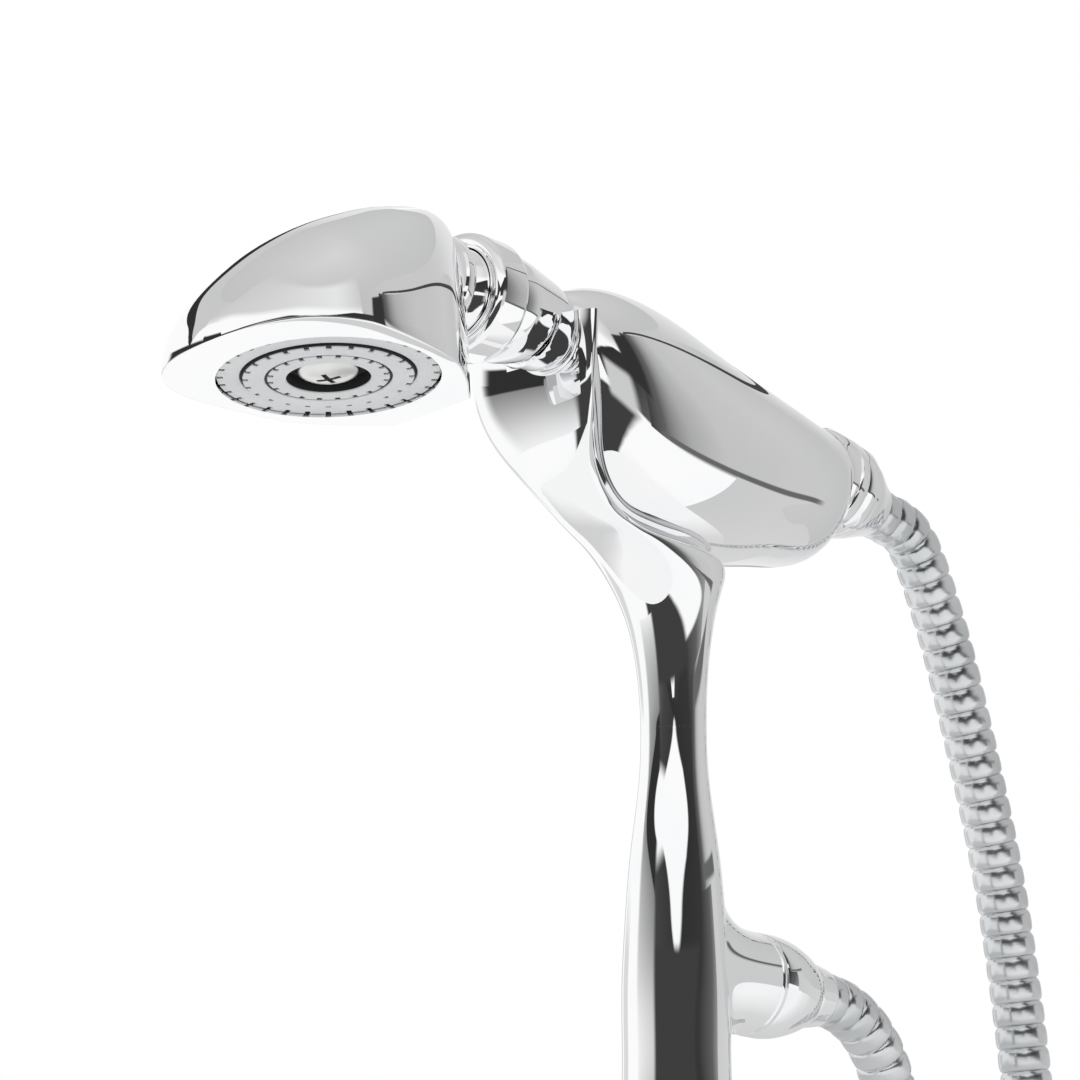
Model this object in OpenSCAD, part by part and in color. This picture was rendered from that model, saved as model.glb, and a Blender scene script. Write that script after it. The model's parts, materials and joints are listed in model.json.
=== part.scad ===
// Bath shower mixer: deck body, hourglass column with a fork cradle, lift-off handset and ribbed hose.
// Millimetres. Z up, deck plane at z = 0, front (spout and spray head) towards -Y.

/* [Deck fixing] */
// distance between the two inlet centres
inlet_cc = 180; // [150:1:200]
// outside radius of the threaded inlet tails
tail_r = 13.2; // [11:0.1:16]
// length of the tails below the deck
tail_len = 60; // [40:1:90]
// bore radius of the tails
tail_bore_r = 9; // [6:0.1:9.6]
// radius of the deck flanges
flange_r = 29; // [24:0.5:36]
// thickness of the rubber gasket under each flange
gasket_t = 2; // [1:0.1:4]
// height of the leg top above the deck
leg_h = 36; // [26:1:50]
// radius of the leg at its waist
leg_r = 17; // [16:0.5:22]

/* [Mixer body] */
// radius of the two valve turrets
turret_r = 22; // [19:0.5:28]
// height of the turrets
turret_h = 36; // [32:1:44]
// radius of the cross pipe between the turrets
bridge_r = 17; // [14:0.5:20]
// bore radius of the cross pipe
bridge_bore_r = 9; // [5:0.5:11]
// radius of the middle hub under the column
hub_r = 25; // [22:0.5:32]
// height of the hub top above the deck
hub_top = 80; // [74:1:92]

/* [Valves] */
// radius of the valve cartridge
cart_r = 11; // [10:0.1:14]
// radius of the ceramic discs
disc_r = 8.5; // [7:0.1:9.2]
// thickness of one ceramic disc
disc_t = 3; // [2:0.1:4]
// radius of the valve spindle
spindle_r = 4; // [3:0.1:5]
// radius of the handle hub
knob_r = 15; // [12:0.5:19]
// height of the handle hub
knob_h = 19; // [15:0.5:24]
// length of the lever from the valve axis
lever_len = 48; // [36:1:60]
// radius of the lever bar
lever_r = 5; // [4:0.1:6]
// running clearance between turning pieces
run_gap = 0.08; // [0.03:0.01:0.1]

/* [Spout] */
// outside radius of the spout
spout_r = 13; // [11:0.5:15]
// wall of the spout
spout_wall = 3; // [2:0.1:4]
// reach of the outlet in front of the column
spout_reach = 131; // [110:1:160]
// bend radius of the spout
spout_bend = 26; // [20:1:34]
// distance of the diverter in front of the column
div_y = 52; // [48:1:70]
// lift of the diverter
div_lift = 8; // [5:0.5:10]

/* [Column] */
// height of the cradle seat above the deck
column_top = 241; // [220:1:270]
// radius at the foot
column_foot_r = 19.5; // [17:0.5:23]
// radius of the swelling at the hose outlet
column_belly_r = 13.4; // [11:0.1:16]
// radius at the narrowest place
column_waist_r = 8.3; // [7.6:0.1:10]
// radius of the seat under the cradle
column_seat_r = 14; // [12:0.1:17]
// height of the hose outlet above the deck
outlet_z = 140.5; // [128:0.5:152]
// reach of the hose outlet behind the column axis
outlet_y = 28; // [22:0.5:34]
// radius of the hose outlet boss
outlet_r = 13; // [11:0.1:13.4]

/* [Handset] */
// height of the neck axis above the cradle seat
neck_rise = 54.3; // [52:0.1:58]
// radius of the neck collar
neck_r = 13.5; // [12.9:0.1:15]
// radius of the swivel ball
ball_r = 12; // [10:0.1:12.2]
// radius of the ball nut
ball_nut_r = 15.5; // [15:0.1:17]
// height of the handle body
grip_h = 62; // [54:1:64]
// width of the handle body
grip_w = 41; // [34:1:46]
// wall of the handle body
grip_wall = 3; // [2:0.1:4]
// radius of the tail collar
tail_collar_r = 13.5; // [12.5:0.1:15]

/* [Spray head] */
// length of the head
head_len = 72; // [60:1:84]
// width of the head
head_w = 62; // [58:1:74]
// height of the head
head_h = 48; // [42:1:56]
// radius of the spray plate
plate_r = 26; // [22:0.1:27]
// thickness of the spray plate
plate_t = 3; // [2:0.1:4]
// wall of the head shell
head_wall = 3; // [2:0.1:4]
// number of slots in the outer ring
ring_slots = 32; // [20:1:40]

/* [Cradle] */
// width over the two ears
fork_w = 40; // [36:1:46]
// clearance between the handset and the cradle
seat_gap = 0.4; // [0.3:0.1:1]

/* [Hose] */
// outside radius of the ribbed hose
hose_r = 7; // [6:0.1:7.4]
// bore radius of the hose
hose_bore_r = 4; // [2.5:0.1:4.5]
// length of one rib
rib_pitch = 7.7; // [7.6:0.1:10]

/* [Hidden] */
$fn = 64;

half_cc = inlet_cc / 2;
neck_z = column_top + neck_rise;
chrome = [0.86, 0.87, 0.88];
brass = [0.78, 0.66, 0.38];
rubber = [0.1, 0.1, 0.1];
grey = [0.55, 0.56, 0.58];
ceramic = [0.93, 0.92, 0.88];
eps = 0.01;

// reduced end of the tails, screwed in the legs
tail_seat_r = tail_r - 0.8;
tail_seat_h = 12;
tail_relief = 1;
gasket_gap = 0.2;

// valve stack heights
turret_top = leg_h + turret_h;
pocket_z = leg_h + 14;
seat_t = 2;
fixed_z = pocket_z + seat_t;
moving_z = fixed_z + disc_t + run_gap;
drive_z = moving_z + disc_t;
cart_top = turret_top + 12;
shroud_h = 7;
handle_z = turret_top + shroud_h + 0.6;
handle_top = handle_z + knob_h;
index_t = 1.6;
bridge_z = leg_h + turret_h / 2;

// spout heights
outlet_straight = 5;
spout_end_z = bridge_z - spout_bend - outlet_straight;
div_boss_r = 13.5;
div_bore_r = 9;
div_top = bridge_z + spout_r + 3;

// column and outlet
spigot_r = 12;
spigot_len = 12;
column_bore_r = 5.5;
nipple_len = 12;
nipple_r = 10;
nut_y = outlet_y + 0.5;
nut_len = 19;
nut_r = 13.1;
ferrule_y = nut_y + nut_len;
ferrule_len = 8;
rise_y = ferrule_y + ferrule_len;

// handset places along Y
ball_y = -76.5;
ball_nut_front = -81;
neck_front = -77.5;
collar_front = -70;
neck_back = -47;
neck_back_r = 10.6;
grip_front = -47;
grip_back = 59.5;
tail_z = neck_z - 15;
tail_drop = 9;
tail_len_y = 7;
cone_len = 17;
socket_r = neck_r - 0.8;
neck_spigot_r = 8;
neck_spigot_len = 11;
hollow_front = grip_front + 4.5;
hollow_back = grip_back - 4;

// cradle places
ear_top = neck_z - 1.5;
ear_back = 49.4;
notch_r = neck_back_r + 0.9 + seat_gap;

// spray head places
face_z = neck_z - 32.7;
disc_y = -124.4;
head_back = -89.5;
plate_z = face_z + 0.7;
chamber_z = plate_z + plate_t + 1;
boss_r = 5;
screw_r = 7;
thread_r = 2.2;
ring_mid = 0.78 * plate_r;
ring_in = 0.56 * plate_r;
recess_r = 0.37 * plate_r;

// helpers
module tube(r_out, r_in, h) {
  difference() {
    cylinder(r = r_out, h = h);
    translate([0, 0, -1]) cylinder(r = r_in, h = h + 2);
  }
}

// the same piece at both inlets
module at_inlets() {
  for (side = [-1, 1]) translate([side * half_cc, 0, 0]) children();
}

module at_hot() { translate([-half_cc, 0, 0]) children(); }

module at_cold() { translate([half_cc, 0, 0]) children(); }

// turn a Z axis piece so that it points to +Y from y = 0
module along_y() { rotate([-90, 0, 0]) children(); }

// smooth curve through hand-picked values
function spline(a, b, c, d, t) = 0.5 * (2 * b + (c - a) * t + (2 * a - 5 * b + 4 * c - d) * t * t
  + (3 * b - a - 3 * c + d) * t * t * t);
function pick(list, i) = list[max(0, min(len(list) - 1, i))];
function smooth(list, steps) = concat(
  [for (i = [0 : len(list) - 2], k = [0 : steps - 1])
    spline(pick(list, i - 1), list[i], list[i + 1], pick(list, i + 2), k / steps)],
  [list[len(list) - 1]]);

// solid through rings of points, every ring with the same count
module skin(rings) {
  count = len(rings[0]);
  last = len(rings) - 1;
  points = [for (ring = rings) each ring];
  sides = [for (i = [0 : last - 1], j = [0 : count - 1]) each [
    [i * count + j, i * count + (j + 1) % count, (i + 1) * count + (j + 1) % count],
    [i * count + j, (i + 1) * count + (j + 1) % count, (i + 1) * count + j]]];
  caps = [[for (j = [count - 1 : -1 : 0]) j], [for (j = [0 : count - 1]) last * count + j]];
  polyhedron(points = points, faces = concat(sides, caps));
}

// deck fixing

// two threaded tails that pass through the deck
module inlet_tails() {
  color(brass) at_inlets() difference() {
    union() {
      translate([0, 0, -tail_len]) cylinder(r = tail_r, h = tail_len - tail_relief);
      translate([0, 0, -tail_relief - 1]) cylinder(r = tail_seat_r, h = tail_relief + 1 + tail_seat_h);
    }
    translate([0, 0, -tail_len - 1]) cylinder(r = tail_bore_r, h = tail_len + tail_seat_h + 2);
  }
}

module flange_gaskets() {
  color(rubber) at_inlets() tube(flange_r - 1, tail_r + gasket_gap, gasket_t);
}

// leg with its flange, turned from the deck up to the turret
module leg() {
  difference() {
    rotate_extrude() polygon([
      [0, gasket_t], [flange_r, gasket_t], [flange_r, gasket_t + 3], [flange_r - 4, gasket_t + 6.5],
      [leg_r + 3, gasket_t + 11], [leg_r, gasket_t + 17], [leg_r, leg_h - 6], [leg_r + 2.5, leg_h - 3],
      [leg_r + 2.5, leg_h], [0, leg_h]]);
    translate([0, 0, -1]) cylinder(r = tail_seat_r, h = tail_seat_h + 1);
    translate([0, 0, tail_seat_h - 1]) cylinder(r = tail_bore_r, h = leg_h);
  }
}

module hot_leg() { color(chrome) at_hot() leg(); }

module cold_leg() { color(chrome) at_cold() leg(); }

// non-return valve cartridges pressed in the tails
module check_valves() {
  color(grey) at_inlets() translate([0, 0, -16]) {
    tube(tail_bore_r, tail_bore_r - 2, 14);
    translate([0, 0, 4]) cylinder(r = tail_bore_r - 2, h = 2.5);
    cylinder(r = 1.5, h = 12);
  }
}

module leg_seals() {
  color(rubber) at_inlets() translate([0, 0, leg_h]) tube(tail_bore_r + 4, tail_bore_r + 1, 1.5);
}

// mixer body

// casting: two turrets, cross pipe, hub and their waterways
module mixer_body() {
  color(chrome) difference() {
    union() {
      at_inlets() translate([0, 0, leg_h]) cylinder(r = turret_r, h = turret_h);
      translate([-half_cc, 0, bridge_z]) rotate([0, 90, 0]) cylinder(r = bridge_r, h = inlet_cc);
      translate([0, 0, leg_h]) cylinder(r = hub_r, h = hub_top - leg_h);
      translate([0, 0, bridge_z]) rotate([90, 0, 0]) cylinder(r = spout_r + 2, h = hub_r + 4);
    }
    at_inlets() translate([0, 0, leg_h - 1]) cylinder(r = 7, h = turret_h);
    at_inlets() translate([0, 0, pocket_z]) cylinder(r = cart_r, h = turret_h);
    at_inlets() translate([0, 0, leg_h - 1]) tube(tail_bore_r + 4, tail_bore_r + 1, 2.5);
    translate([-half_cc, 0, bridge_z]) rotate([0, 90, 0]) cylinder(r = bridge_bore_r, h = inlet_cc);
    translate([0, 0, leg_h + 8]) cylinder(r = spigot_r, h = hub_top);
    translate([0, 0, bridge_z]) rotate([90, 0, 0]) cylinder(r = spout_r - spout_wall, h = hub_r + 5);
    translate([0, 0, hub_top - 2]) cylinder(r = spigot_r + 2.5, h = 3);
    translate([0, -hub_r - 4 - eps, bridge_z]) along_y() cylinder(r = spout_r - 0.5, h = 8 + eps);
  }
}

// valves

// cartridge sleeve with its disc pocket, ports and stem bore
module cartridge() {
  difference() {
    union() {
      translate([0, 0, fixed_z]) cylinder(r = cart_r, h = turret_top - fixed_z);
      translate([0, 0, turret_top]) cylinder(r = cart_r - 2, h = cart_top - turret_top);
    }
    translate([0, 0, fixed_z - 1]) cylinder(r = disc_r + 0.3, h = drive_z + 4.3 - fixed_z + 1);
    cylinder(r = spindle_r + run_gap, h = cart_top + 1);
    translate([0, 0, cart_top - 5]) cylinder(r = spindle_r + 1.6, h = 2.4);
    translate([-half_cc, 0, drive_z + 1.5]) rotate([0, 90, 0]) cylinder(r = 2.5, h = inlet_cc);
  }
}

module hot_cartridge() { color(brass) at_hot() cartridge(); }

module cold_cartridge() { color(brass) at_cold() cartridge(); }

module valve_seats() {
  color(rubber) at_inlets() translate([0, 0, pocket_z]) tube(cart_r, 6, seat_t);
}

// ceramic disc with two sector ports
module ceramic_disc(z) {
  color(ceramic) translate([0, 0, z]) difference() {
    cylinder(r = disc_r, h = disc_t);
    for (a = [0, 180]) rotate(a) translate([disc_r * 0.52, 0, -1]) cylinder(r = disc_r * 0.26, h = disc_t + 2);
  }
}

module hot_fixed_disc() { at_hot() ceramic_disc(fixed_z); }

module cold_fixed_disc() { at_cold() ceramic_disc(fixed_z); }

module hot_moving_disc() { at_hot() rotate(90) ceramic_disc(moving_z); }

module cold_moving_disc() { at_cold() rotate(90) ceramic_disc(moving_z); }

module spindle_seals() {
  color(rubber) at_inlets() translate([0, 0, cart_top - 5]) tube(spindle_r + 1.6, spindle_r + run_gap, 2.4);
}

module valve_shrouds() {
  color(chrome) at_inlets() translate([0, 0, turret_top]) difference() {
    cylinder(r1 = turret_r - 1, r2 = knob_r + 1, h = shroud_h);
    translate([0, 0, -1]) cylinder(r = cart_r - 2, h = shroud_h + 2);
  }
}

module spindle() {
  color(brass) difference() {
    union() {
      translate([0, 0, drive_z]) cylinder(r = disc_r - 0.2, h = 4);
      translate([0, 0, drive_z]) cylinder(r = spindle_r, h = handle_top - 6 - drive_z);
    }
    translate([0, 0, handle_top - 18]) cylinder(r = 1.6, h = 20);
  }
}

module hot_spindle() { at_hot() spindle(); }

module cold_spindle() { at_cold() spindle(); }

// domed hub with a lever bar towards +X
module lever_handle() {
  lever_z = handle_z + knob_h * 0.52;
  color(chrome) difference() {
    union() {
      translate([0, 0, handle_z]) rotate_extrude() polygon([
        [0, 0], [knob_r, 0], [knob_r, knob_h * 0.35], [knob_r - 0.8, knob_h * 0.62],
        [knob_r - 3, knob_h * 0.86], [knob_r - 5, knob_h * 0.96], [knob_r - 7, knob_h], [0, knob_h]]);
      translate([0, 0, lever_z]) rotate([0, 90, 0]) cylinder(r = lever_r, h = lever_len - lever_r);
      translate([lever_len - lever_r, 0, lever_z]) sphere(r = lever_r);
    }
    translate([0, 0, handle_z - 1]) cylinder(r = cart_r - 1.4, h = cart_top - handle_z + 1.6);
    cylinder(r = spindle_r, h = handle_top - 6);
    translate([0, 0, handle_z]) cylinder(r = 1.6, h = knob_h);
    translate([0, 0, handle_top - 4.5]) cylinder(r = 6.5, h = 6);
  }
}

module hot_handle() { at_hot() rotate(180) lever_handle(); }

module cold_handle() { at_cold() lever_handle(); }

// fixing screw with a cross slot under the index cap
module handle_screw() {
  color(grey) difference() {
    union() {
      translate([0, 0, handle_top - 18]) cylinder(r = 1.6, h = 14);
      translate([0, 0, handle_top - 4.5]) cylinder(r = 3.6, h = 2.2);
    }
    for (a = [0, 90]) translate([0, 0, handle_top - 2.6]) rotate(a) cube([4, 0.8, 1.4], center = true);
  }
}

module hot_screw() { at_hot() handle_screw(); }

module cold_screw() { at_cold() handle_screw(); }

module index_cap(tint) {
  color(tint) translate([0, 0, handle_top - index_t]) cylinder(r = 6.5, h = index_t + 0.4);
}

module hot_index() { at_hot() index_cap([0.72, 0.1, 0.1]); }

module cold_index() { at_cold() index_cap([0.1, 0.22, 0.62]); }

// spout and diverter

// straight pipe, bend and outlet with the diverter chamber standing in it
module spout() {
  inner = spout_r - spout_wall;
  color(chrome) difference() {
    union() {
      translate([0, -hub_r - 4, bridge_z]) rotate([90, 0, 0])
        cylinder(r = spout_r, h = spout_reach - spout_bend - hub_r - 4);
      translate([0, -hub_r + 2, bridge_z]) rotate([90, 0, 0]) cylinder(r = spout_r - 0.5, h = 8);
      elbow(spout_r);
      translate([0, -spout_reach, spout_end_z]) cylinder(r = spout_r, h = outlet_straight);
      translate([0, -div_y, bridge_z - spout_r - 1]) cylinder(r = div_boss_r, h = div_top - bridge_z + spout_r + 1);
    }
    translate([0, -hub_r + 3, bridge_z]) rotate([90, 0, 0])
      cylinder(r = inner, h = spout_reach - spout_bend - hub_r + 3);
    elbow(inner);
    translate([0, -spout_reach, spout_end_z - 1]) cylinder(r = inner, h = outlet_straight + 1);
    translate([0, -div_y, bridge_z - spout_r + 2]) cylinder(r = div_bore_r, h = 60);
  }
}

// quarter bend from the straight pipe down to the outlet
module elbow(r) {
  translate([0, -spout_reach + spout_bend, bridge_z - spout_bend]) rotate([90, 0, 90])
    rotate([0, 0, 90]) rotate_extrude(angle = 90) translate([spout_bend, 0]) circle(r = r);
}

module spout_seal() {
  color(rubber) translate([0, -hub_r + 2, bridge_z]) rotate([-90, 0, 0])
    tube(spout_r - 0.5, spout_r - spout_wall, 2);
}

module aerator_shell() {
  color(chrome) translate([0, -spout_reach, spout_end_z - 9]) difference() {
    cylinder(r = spout_r, h = 9);
    translate([0, 0, 1.5]) cylinder(r = spout_r - 2, h = 9);
    translate([0, 0, -1]) cylinder(r = spout_r - 3.5, h = 4);
  }
}

// flow straightener with a ring of holes
module aerator_core() {
  color(grey) translate([0, -spout_reach, spout_end_z - 7.5]) difference() {
    cylinder(r = spout_r - 2, h = 6);
    translate([0, 0, -1]) cylinder(r = 1.2, h = 8);
    for (i = [0 : 5]) rotate(60 * i) translate([3.6, 0, -1]) cylinder(r = 1.2, h = 8, $fn = 24);
    for (i = [0 : 11]) rotate(30 * i) translate([7, 0, -1]) cylinder(r = 1.2, h = 8, $fn = 24);
  }
}

module aerator_seal() {
  color(rubber) translate([0, -spout_reach, spout_end_z - 1.5]) tube(spout_r - 2, spout_r - 5, 1.5);
}

module diverter_bonnet() {
  color(chrome) translate([0, -div_y, div_top - 6]) difference() {
    union() {
      cylinder(r = div_bore_r, h = 6);
      translate([0, 0, 6]) cylinder(r1 = div_boss_r - 1, r2 = 7, h = 5);
    }
    translate([0, 0, -1]) cylinder(r = 2.5 + run_gap, h = 14);
  }
}

// rod with its plunger plate and the collar that stops the lift under the bonnet
module diverter_rod() {
  color(brass) translate([0, -div_y, bridge_z - spout_r + 2.5]) {
    cylinder(r = div_bore_r - 0.4, h = 2);
    cylinder(r = 2.5, h = div_top + 11 - (bridge_z - spout_r + 2.5));
  }
  color(brass) translate([0, -div_y, div_top - 6 - div_lift - 2.3]) cylinder(r = 4.5, h = 2);
}

module diverter_knob() {
  color(chrome) translate([0, -div_y, div_top + 5.1]) difference() {
    rotate_extrude() polygon([[0, 0], [5, 0], [5.4, 2], [8, 6], [8.4, 9], [7.4, 11.5], [5, 13], [0, 13.4]]);
    translate([0, 0, -1]) cylinder(r = 2.5, h = 6.9);
  }
}

module diverter_washer() {
  color(rubber) translate([0, -div_y, bridge_z - spout_r + 4.5]) tube(div_bore_r - 0.4, 2.5, 2);
}

// column

// turned profile of the column, foot to seat, as radius and height
function column_profile() = smooth([
  [column_foot_r, hub_top], [column_foot_r - 0.4, hub_top + 4],
  [column_belly_r + 3.4, hub_top + 12], [column_belly_r + 1, hub_top + 22],
  [column_belly_r, outlet_z - 26], [column_belly_r, outlet_z - 6], [column_belly_r - 0.9, outlet_z + 12],
  [column_waist_r + 2.7, outlet_z + 29.5], [column_waist_r + 0.9, column_top - 57],
  [column_waist_r, column_top - 41], [column_waist_r + 0.6, column_top - 26],
  [column_waist_r + 1.7, column_top - 16], [column_seat_r - 2.6, column_top - 6],
  [column_seat_r, column_top]], 3);

module column() {
  color(chrome) difference() {
    union() {
      rotate_extrude() polygon(concat([[0, hub_top]], column_profile(), [[0, column_top]]));
      translate([0, 0, hub_top - spigot_len]) cylinder(r = spigot_r, h = spigot_len + 1);
      translate([0, 0, outlet_z]) along_y() cylinder(r = outlet_r, h = outlet_y);
      intersection() {
        translate([0, 0, outlet_z]) along_y() cylinder(r1 = outlet_r + 6, r2 = outlet_r, h = column_belly_r + 8);
        translate([-10, 0, outlet_z - 30]) cube([20, outlet_y, 60]);
      }
    }
    translate([0, 0, hub_top - spigot_len - 1]) cylinder(r = column_bore_r, h = outlet_z - hub_top + spigot_len + 1);
    translate([0, 0, outlet_z]) along_y() cylinder(r = column_bore_r, h = outlet_y + 1);
    translate([0, outlet_y - 8, outlet_z]) along_y() cylinder(r = nipple_r - 1, h = 9);
    translate([0, 0, column_top - 14]) cylinder(r = 2.5, h = 15);
  }
}

module column_seal() {
  color(rubber) translate([0, 0, hub_top - 2]) tube(spigot_r + 2.5, spigot_r, 2);
}

// cradle

// stations of the handle body: place along Y, lowest and highest point from the neck axis, half width
function grip_stations() = [for (s = [
  [-47, -10.3, 8.7, 9.5], [-45, -17.8, 9.7, 12.5], [-42, -26.3, 10.9, 15], [-37, -35.3, 12.5, 17.3],
  [-30, -42.5, 13.7, 19], [-20, -47.1, 13.7, 20], [-8, -49.1, 11.7, 20.5], [6, -49.1, 7.9, 20.5],
  [20, -47.5, 4.5, 20], [34, -44.7, 1.4, 19], [44, -42.8, -0.7, 18], [51, -40.4, -1.9, 16.6],
  [55.5, -36.9, -2.1, 15], [58, -32.7, -2, 13.8], [59.5, -28.3, -1.8, 13.2]])
  [s[0], neck_z + 13.7 - (13.7 - s[1]) * grip_h / 62, neck_z + s[2], s[3] * grip_w / 41]];

// one closed ring of the handle body in its own plane, grown by a gap
function grip_ring(s, grow, sides) = [for (k = [0 : sides - 1]) [
  (s[3] + grow) * cos(360 * k / sides), s[0],
  (s[1] + s[2]) / 2 + ((s[2] - s[1]) / 2 + grow) * sin(360 * k / sides)]];

// body form between two stations, kept inside or outside the true size by grow
module grip_form(grow, first, last, sides) {
  all = smooth(grip_stations(), 2);
  kept = [for (s = all) if (s[0] >= first && s[0] <= last) s];
  skin([for (s = kept) grip_ring(s, grow, sides)]);
}

// underside and front of the cradle seen from the side, seat to ear, as Y and height over the seat
function cradle_outer() = smooth([
  [0, 0], [-6, 1.4], [-14.6, 3.4], [-23.3, 6.1], [-34.7, 10.6], [-42.3, 16.1], [-47, 22.1], [-50.9, 30.7],
  [-52.8, 40.2], [-53, ear_top - column_top]], 2);

// half width of the cradle by height over the seat: round seat, narrow throat, wide ears
function cradle_half() = smooth([
  [fork_w * 0.35, 0], [fork_w * 0.35, 2.4], [fork_w * 0.285, 3.8], [fork_w * 0.225, 6.3], [fork_w * 0.19, 10.6],
  [fork_w * 0.25, 16.1], [fork_w * 0.34, 22.1], [fork_w * 0.43, 30.7], [fork_w * 0.48, 40.2],
  [fork_w * 0.5, ear_top - column_top]], 2);

// curved tongue under the handset, rising to a forked rest in front of it
module cradle() {
  side = concat([[fork_w * 0.35, 0]], cradle_outer(),
    [[-ear_back, ear_top - column_top], [-ear_back + 0.2, 42], [-47.4, 32.5], [-43.6, 24.4], [-38.8, 18.8],
    [-31.5, 13.8], [-22, 9.4], [-13, 7], [-5, 5.8], [fork_w * 0.35, 5.4]]);
  half = cradle_half();
  count = len(half) - 1;
  front = concat(half, [for (k = [count : -1 : 0]) [-half[k][0], half[k][1]]]);
  color(chrome) difference() {
    intersection() {
      translate([-fork_w / 2, 0, column_top]) rotate([90, 0, 90]) linear_extrude(fork_w) polygon(side);
      translate([0, 30, column_top]) rotate([90, 0, 0]) linear_extrude(100) polygon(front);
      translate([0, 0, column_top]) union() {
        cylinder(r = fork_w * 0.35, h = 80);
        translate([-fork_w, -80, 0]) cube([2 * fork_w, 80, 80]);
      }
    }
    translate([0, -60, neck_z]) along_y() cylinder(r = notch_r, h = 20);
    translate([-notch_r, -60, neck_z]) cube([2 * notch_r, 20, 20]);
    grip_form(seat_gap, grip_front, 30, 32);
    translate([0, 0, column_top - 1]) cylinder(r = 2.5, h = 10);
    translate([0, 0, column_top + 2]) cylinder(r = 4.4, h = 10);
  }
}

module cradle_screw() {
  color(grey) difference() {
    union() {
      translate([0, 0, column_top - 13]) cylinder(r = 2.5, h = 15);
      translate([0, 0, column_top + 2]) cylinder(r = 4.4, h = 2.2);
    }
    translate([0, 0, column_top + 3]) cylinder(r = 1.6, h = 2, $fn = 24);
  }
}

// hose outlet

module outlet_nipple() {
  color(brass) translate([0, 0, outlet_z]) along_y() difference() {
    union() {
      translate([0, 0, outlet_y - 8]) cylinder(r = nipple_r - 1, h = 8);
      translate([0, 0, outlet_y]) cylinder(r = nipple_r, h = nipple_len);
    }
    cylinder(r = column_bore_r, h = outlet_y + nipple_len + 1);
  }
}

module outlet_washer() {
  color(rubber) translate([0, outlet_y + nipple_len, outlet_z]) along_y() tube(nipple_r, hose_bore_r + 1, 2);
}

// round union nut that tapers towards the hose
module hose_union_nut() {
  color(chrome) translate([0, nut_y, outlet_z]) along_y() difference() {
    rotate_extrude() polygon([[0, 0], [nut_r - 0.8, 0], [nut_r, 1], [nut_r, nut_len * 0.3],
      [nut_r - 0.4, nut_len * 0.45], [nut_r - 1.3, nut_len * 0.65], [nut_r - 2.6, nut_len * 0.85],
      [hose_r + 2.2, nut_len], [0, nut_len]]);
    translate([0, 0, -1]) cylinder(r = nipple_r, h = outlet_y + nipple_len + 2 - nut_y + 1);
    cylinder(r = hose_r, h = nut_len + 1);
  }
}

// sleeve crimped on the hose end, seated in the nut
module hose_ferrule() {
  color(chrome) translate([0, outlet_y + nipple_len + 2, outlet_z]) along_y() difference() {
    union() {
      cylinder(r = hose_r, h = rise_y - outlet_y - nipple_len - 2);
      translate([0, 0, ferrule_y - outlet_y - nipple_len - 2])
        cylinder(r1 = hose_r + 2, r2 = hose_r + 0.6, h = ferrule_len);
    }
    translate([0, 0, -1]) cylinder(r = hose_bore_r, h = 40);
  }
}

// hose

// hand-picked route of the free hose from the handset to the deck, stretched with the handset's height
tail_dir = [0, cos(tail_drop), -sin(tail_drop)];
tail_start = [0, grip_back, tail_z];
drop_start = tail_start + (tail_len_y + cone_len) * tail_dir;
drop_points = [drop_start, drop_start + 7 * tail_dir, drop_start + 14 * tail_dir,
  each [for (p = [[0, 108, 262], [0, 116, 246], [0, 123, 228], [0, 130, 208], [0, 137.5, 183], [0, 143, 157],
  [0, 147, 132], [0, 149.5, 108], [0, 150, 86], [0.4, 148, 66], [2, 142, 47], [6, 131.5, 30], [12.5, 118, 17],
  [22, 104, 9.5]]) [p[0], p[1], p[2] * tail_z / 280.3]]];

// flat spiral of the stored length, from its inner end out
coil_mid = [64, 150];
coil_z = 7;
coil_in = 64;
coil_step = 15.5;
coil_from = 236;
coil_to = 900;
function coil_radius(a) = coil_in + coil_step * (a - 180) / 360;
function coil_point(a) = [coil_mid[0] + coil_radius(a) * cos(a), coil_mid[1] + coil_radius(a) * sin(a), coil_z];
coil_points = [for (k = [0 : 42]) coil_point(coil_from + (coil_to - coil_from) * k / 42)];

// hand-picked route from the coil up to the hose outlet, stretched with its height
rise_points = [coil_point(coil_to), [-31, 139, 7.5], [-30.5, 128, 10.5], [-29, 118, 17],
  each [for (p = [[-26.5, 110, 27.5], [-23, 104, 41], [-18.5, 100, 57], [-13.5, 97.5, 74], [-8.5, 95.5, 91],
  [-4, 92.5, 107], [-1, 86.5, 122], [0, 77, 133.5], [0, rise_y + 10, 139.3]])
  [p[0], p[1], p[2] * outlet_z / 140.5]], [0, rise_y, outlet_z]];

// running length along a list of points
function run_lengths(p, i = 0, sum = 0, out = []) = i == len(p) ? out :
  run_lengths(p, i + 1, sum + (i < len(p) - 1 ? norm(p[i + 1] - p[i]) : 0), concat(out, [sum]));

// place at a given length along a list of points
function place(p, runs, s) = let (n = len([for (v = runs) if (v < s) 1]), i = max(1, min(len(p) - 1, n)))
  p[i - 1] + (p[i] - p[i - 1]) * (s - runs[i - 1]) / max(0.001, runs[i] - runs[i - 1]);
function unit(v) = v / norm(v);

// centre line with even steps: an end point, ribs, and the other end
function even(p, steps) = let (fine = smooth(p, 6), runs = run_lengths(fine), total = runs[len(runs) - 1])
  [for (k = [0 : steps]) place(fine, runs, total * k / steps)];
function heading(p, i) = unit(p[min(len(p) - 1, i + 1)] - p[max(0, i - 1)]);

// ring of points square to the line, kept level so that it never twists
function ring_at(c, t, r, sides, hint) = let (side = unit(cross(hint, t)), up = cross(t, side))
  [for (k = [0 : sides - 1]) c + r * (side * cos(360 * k / sides) + up * sin(360 * k / sides))];

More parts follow.
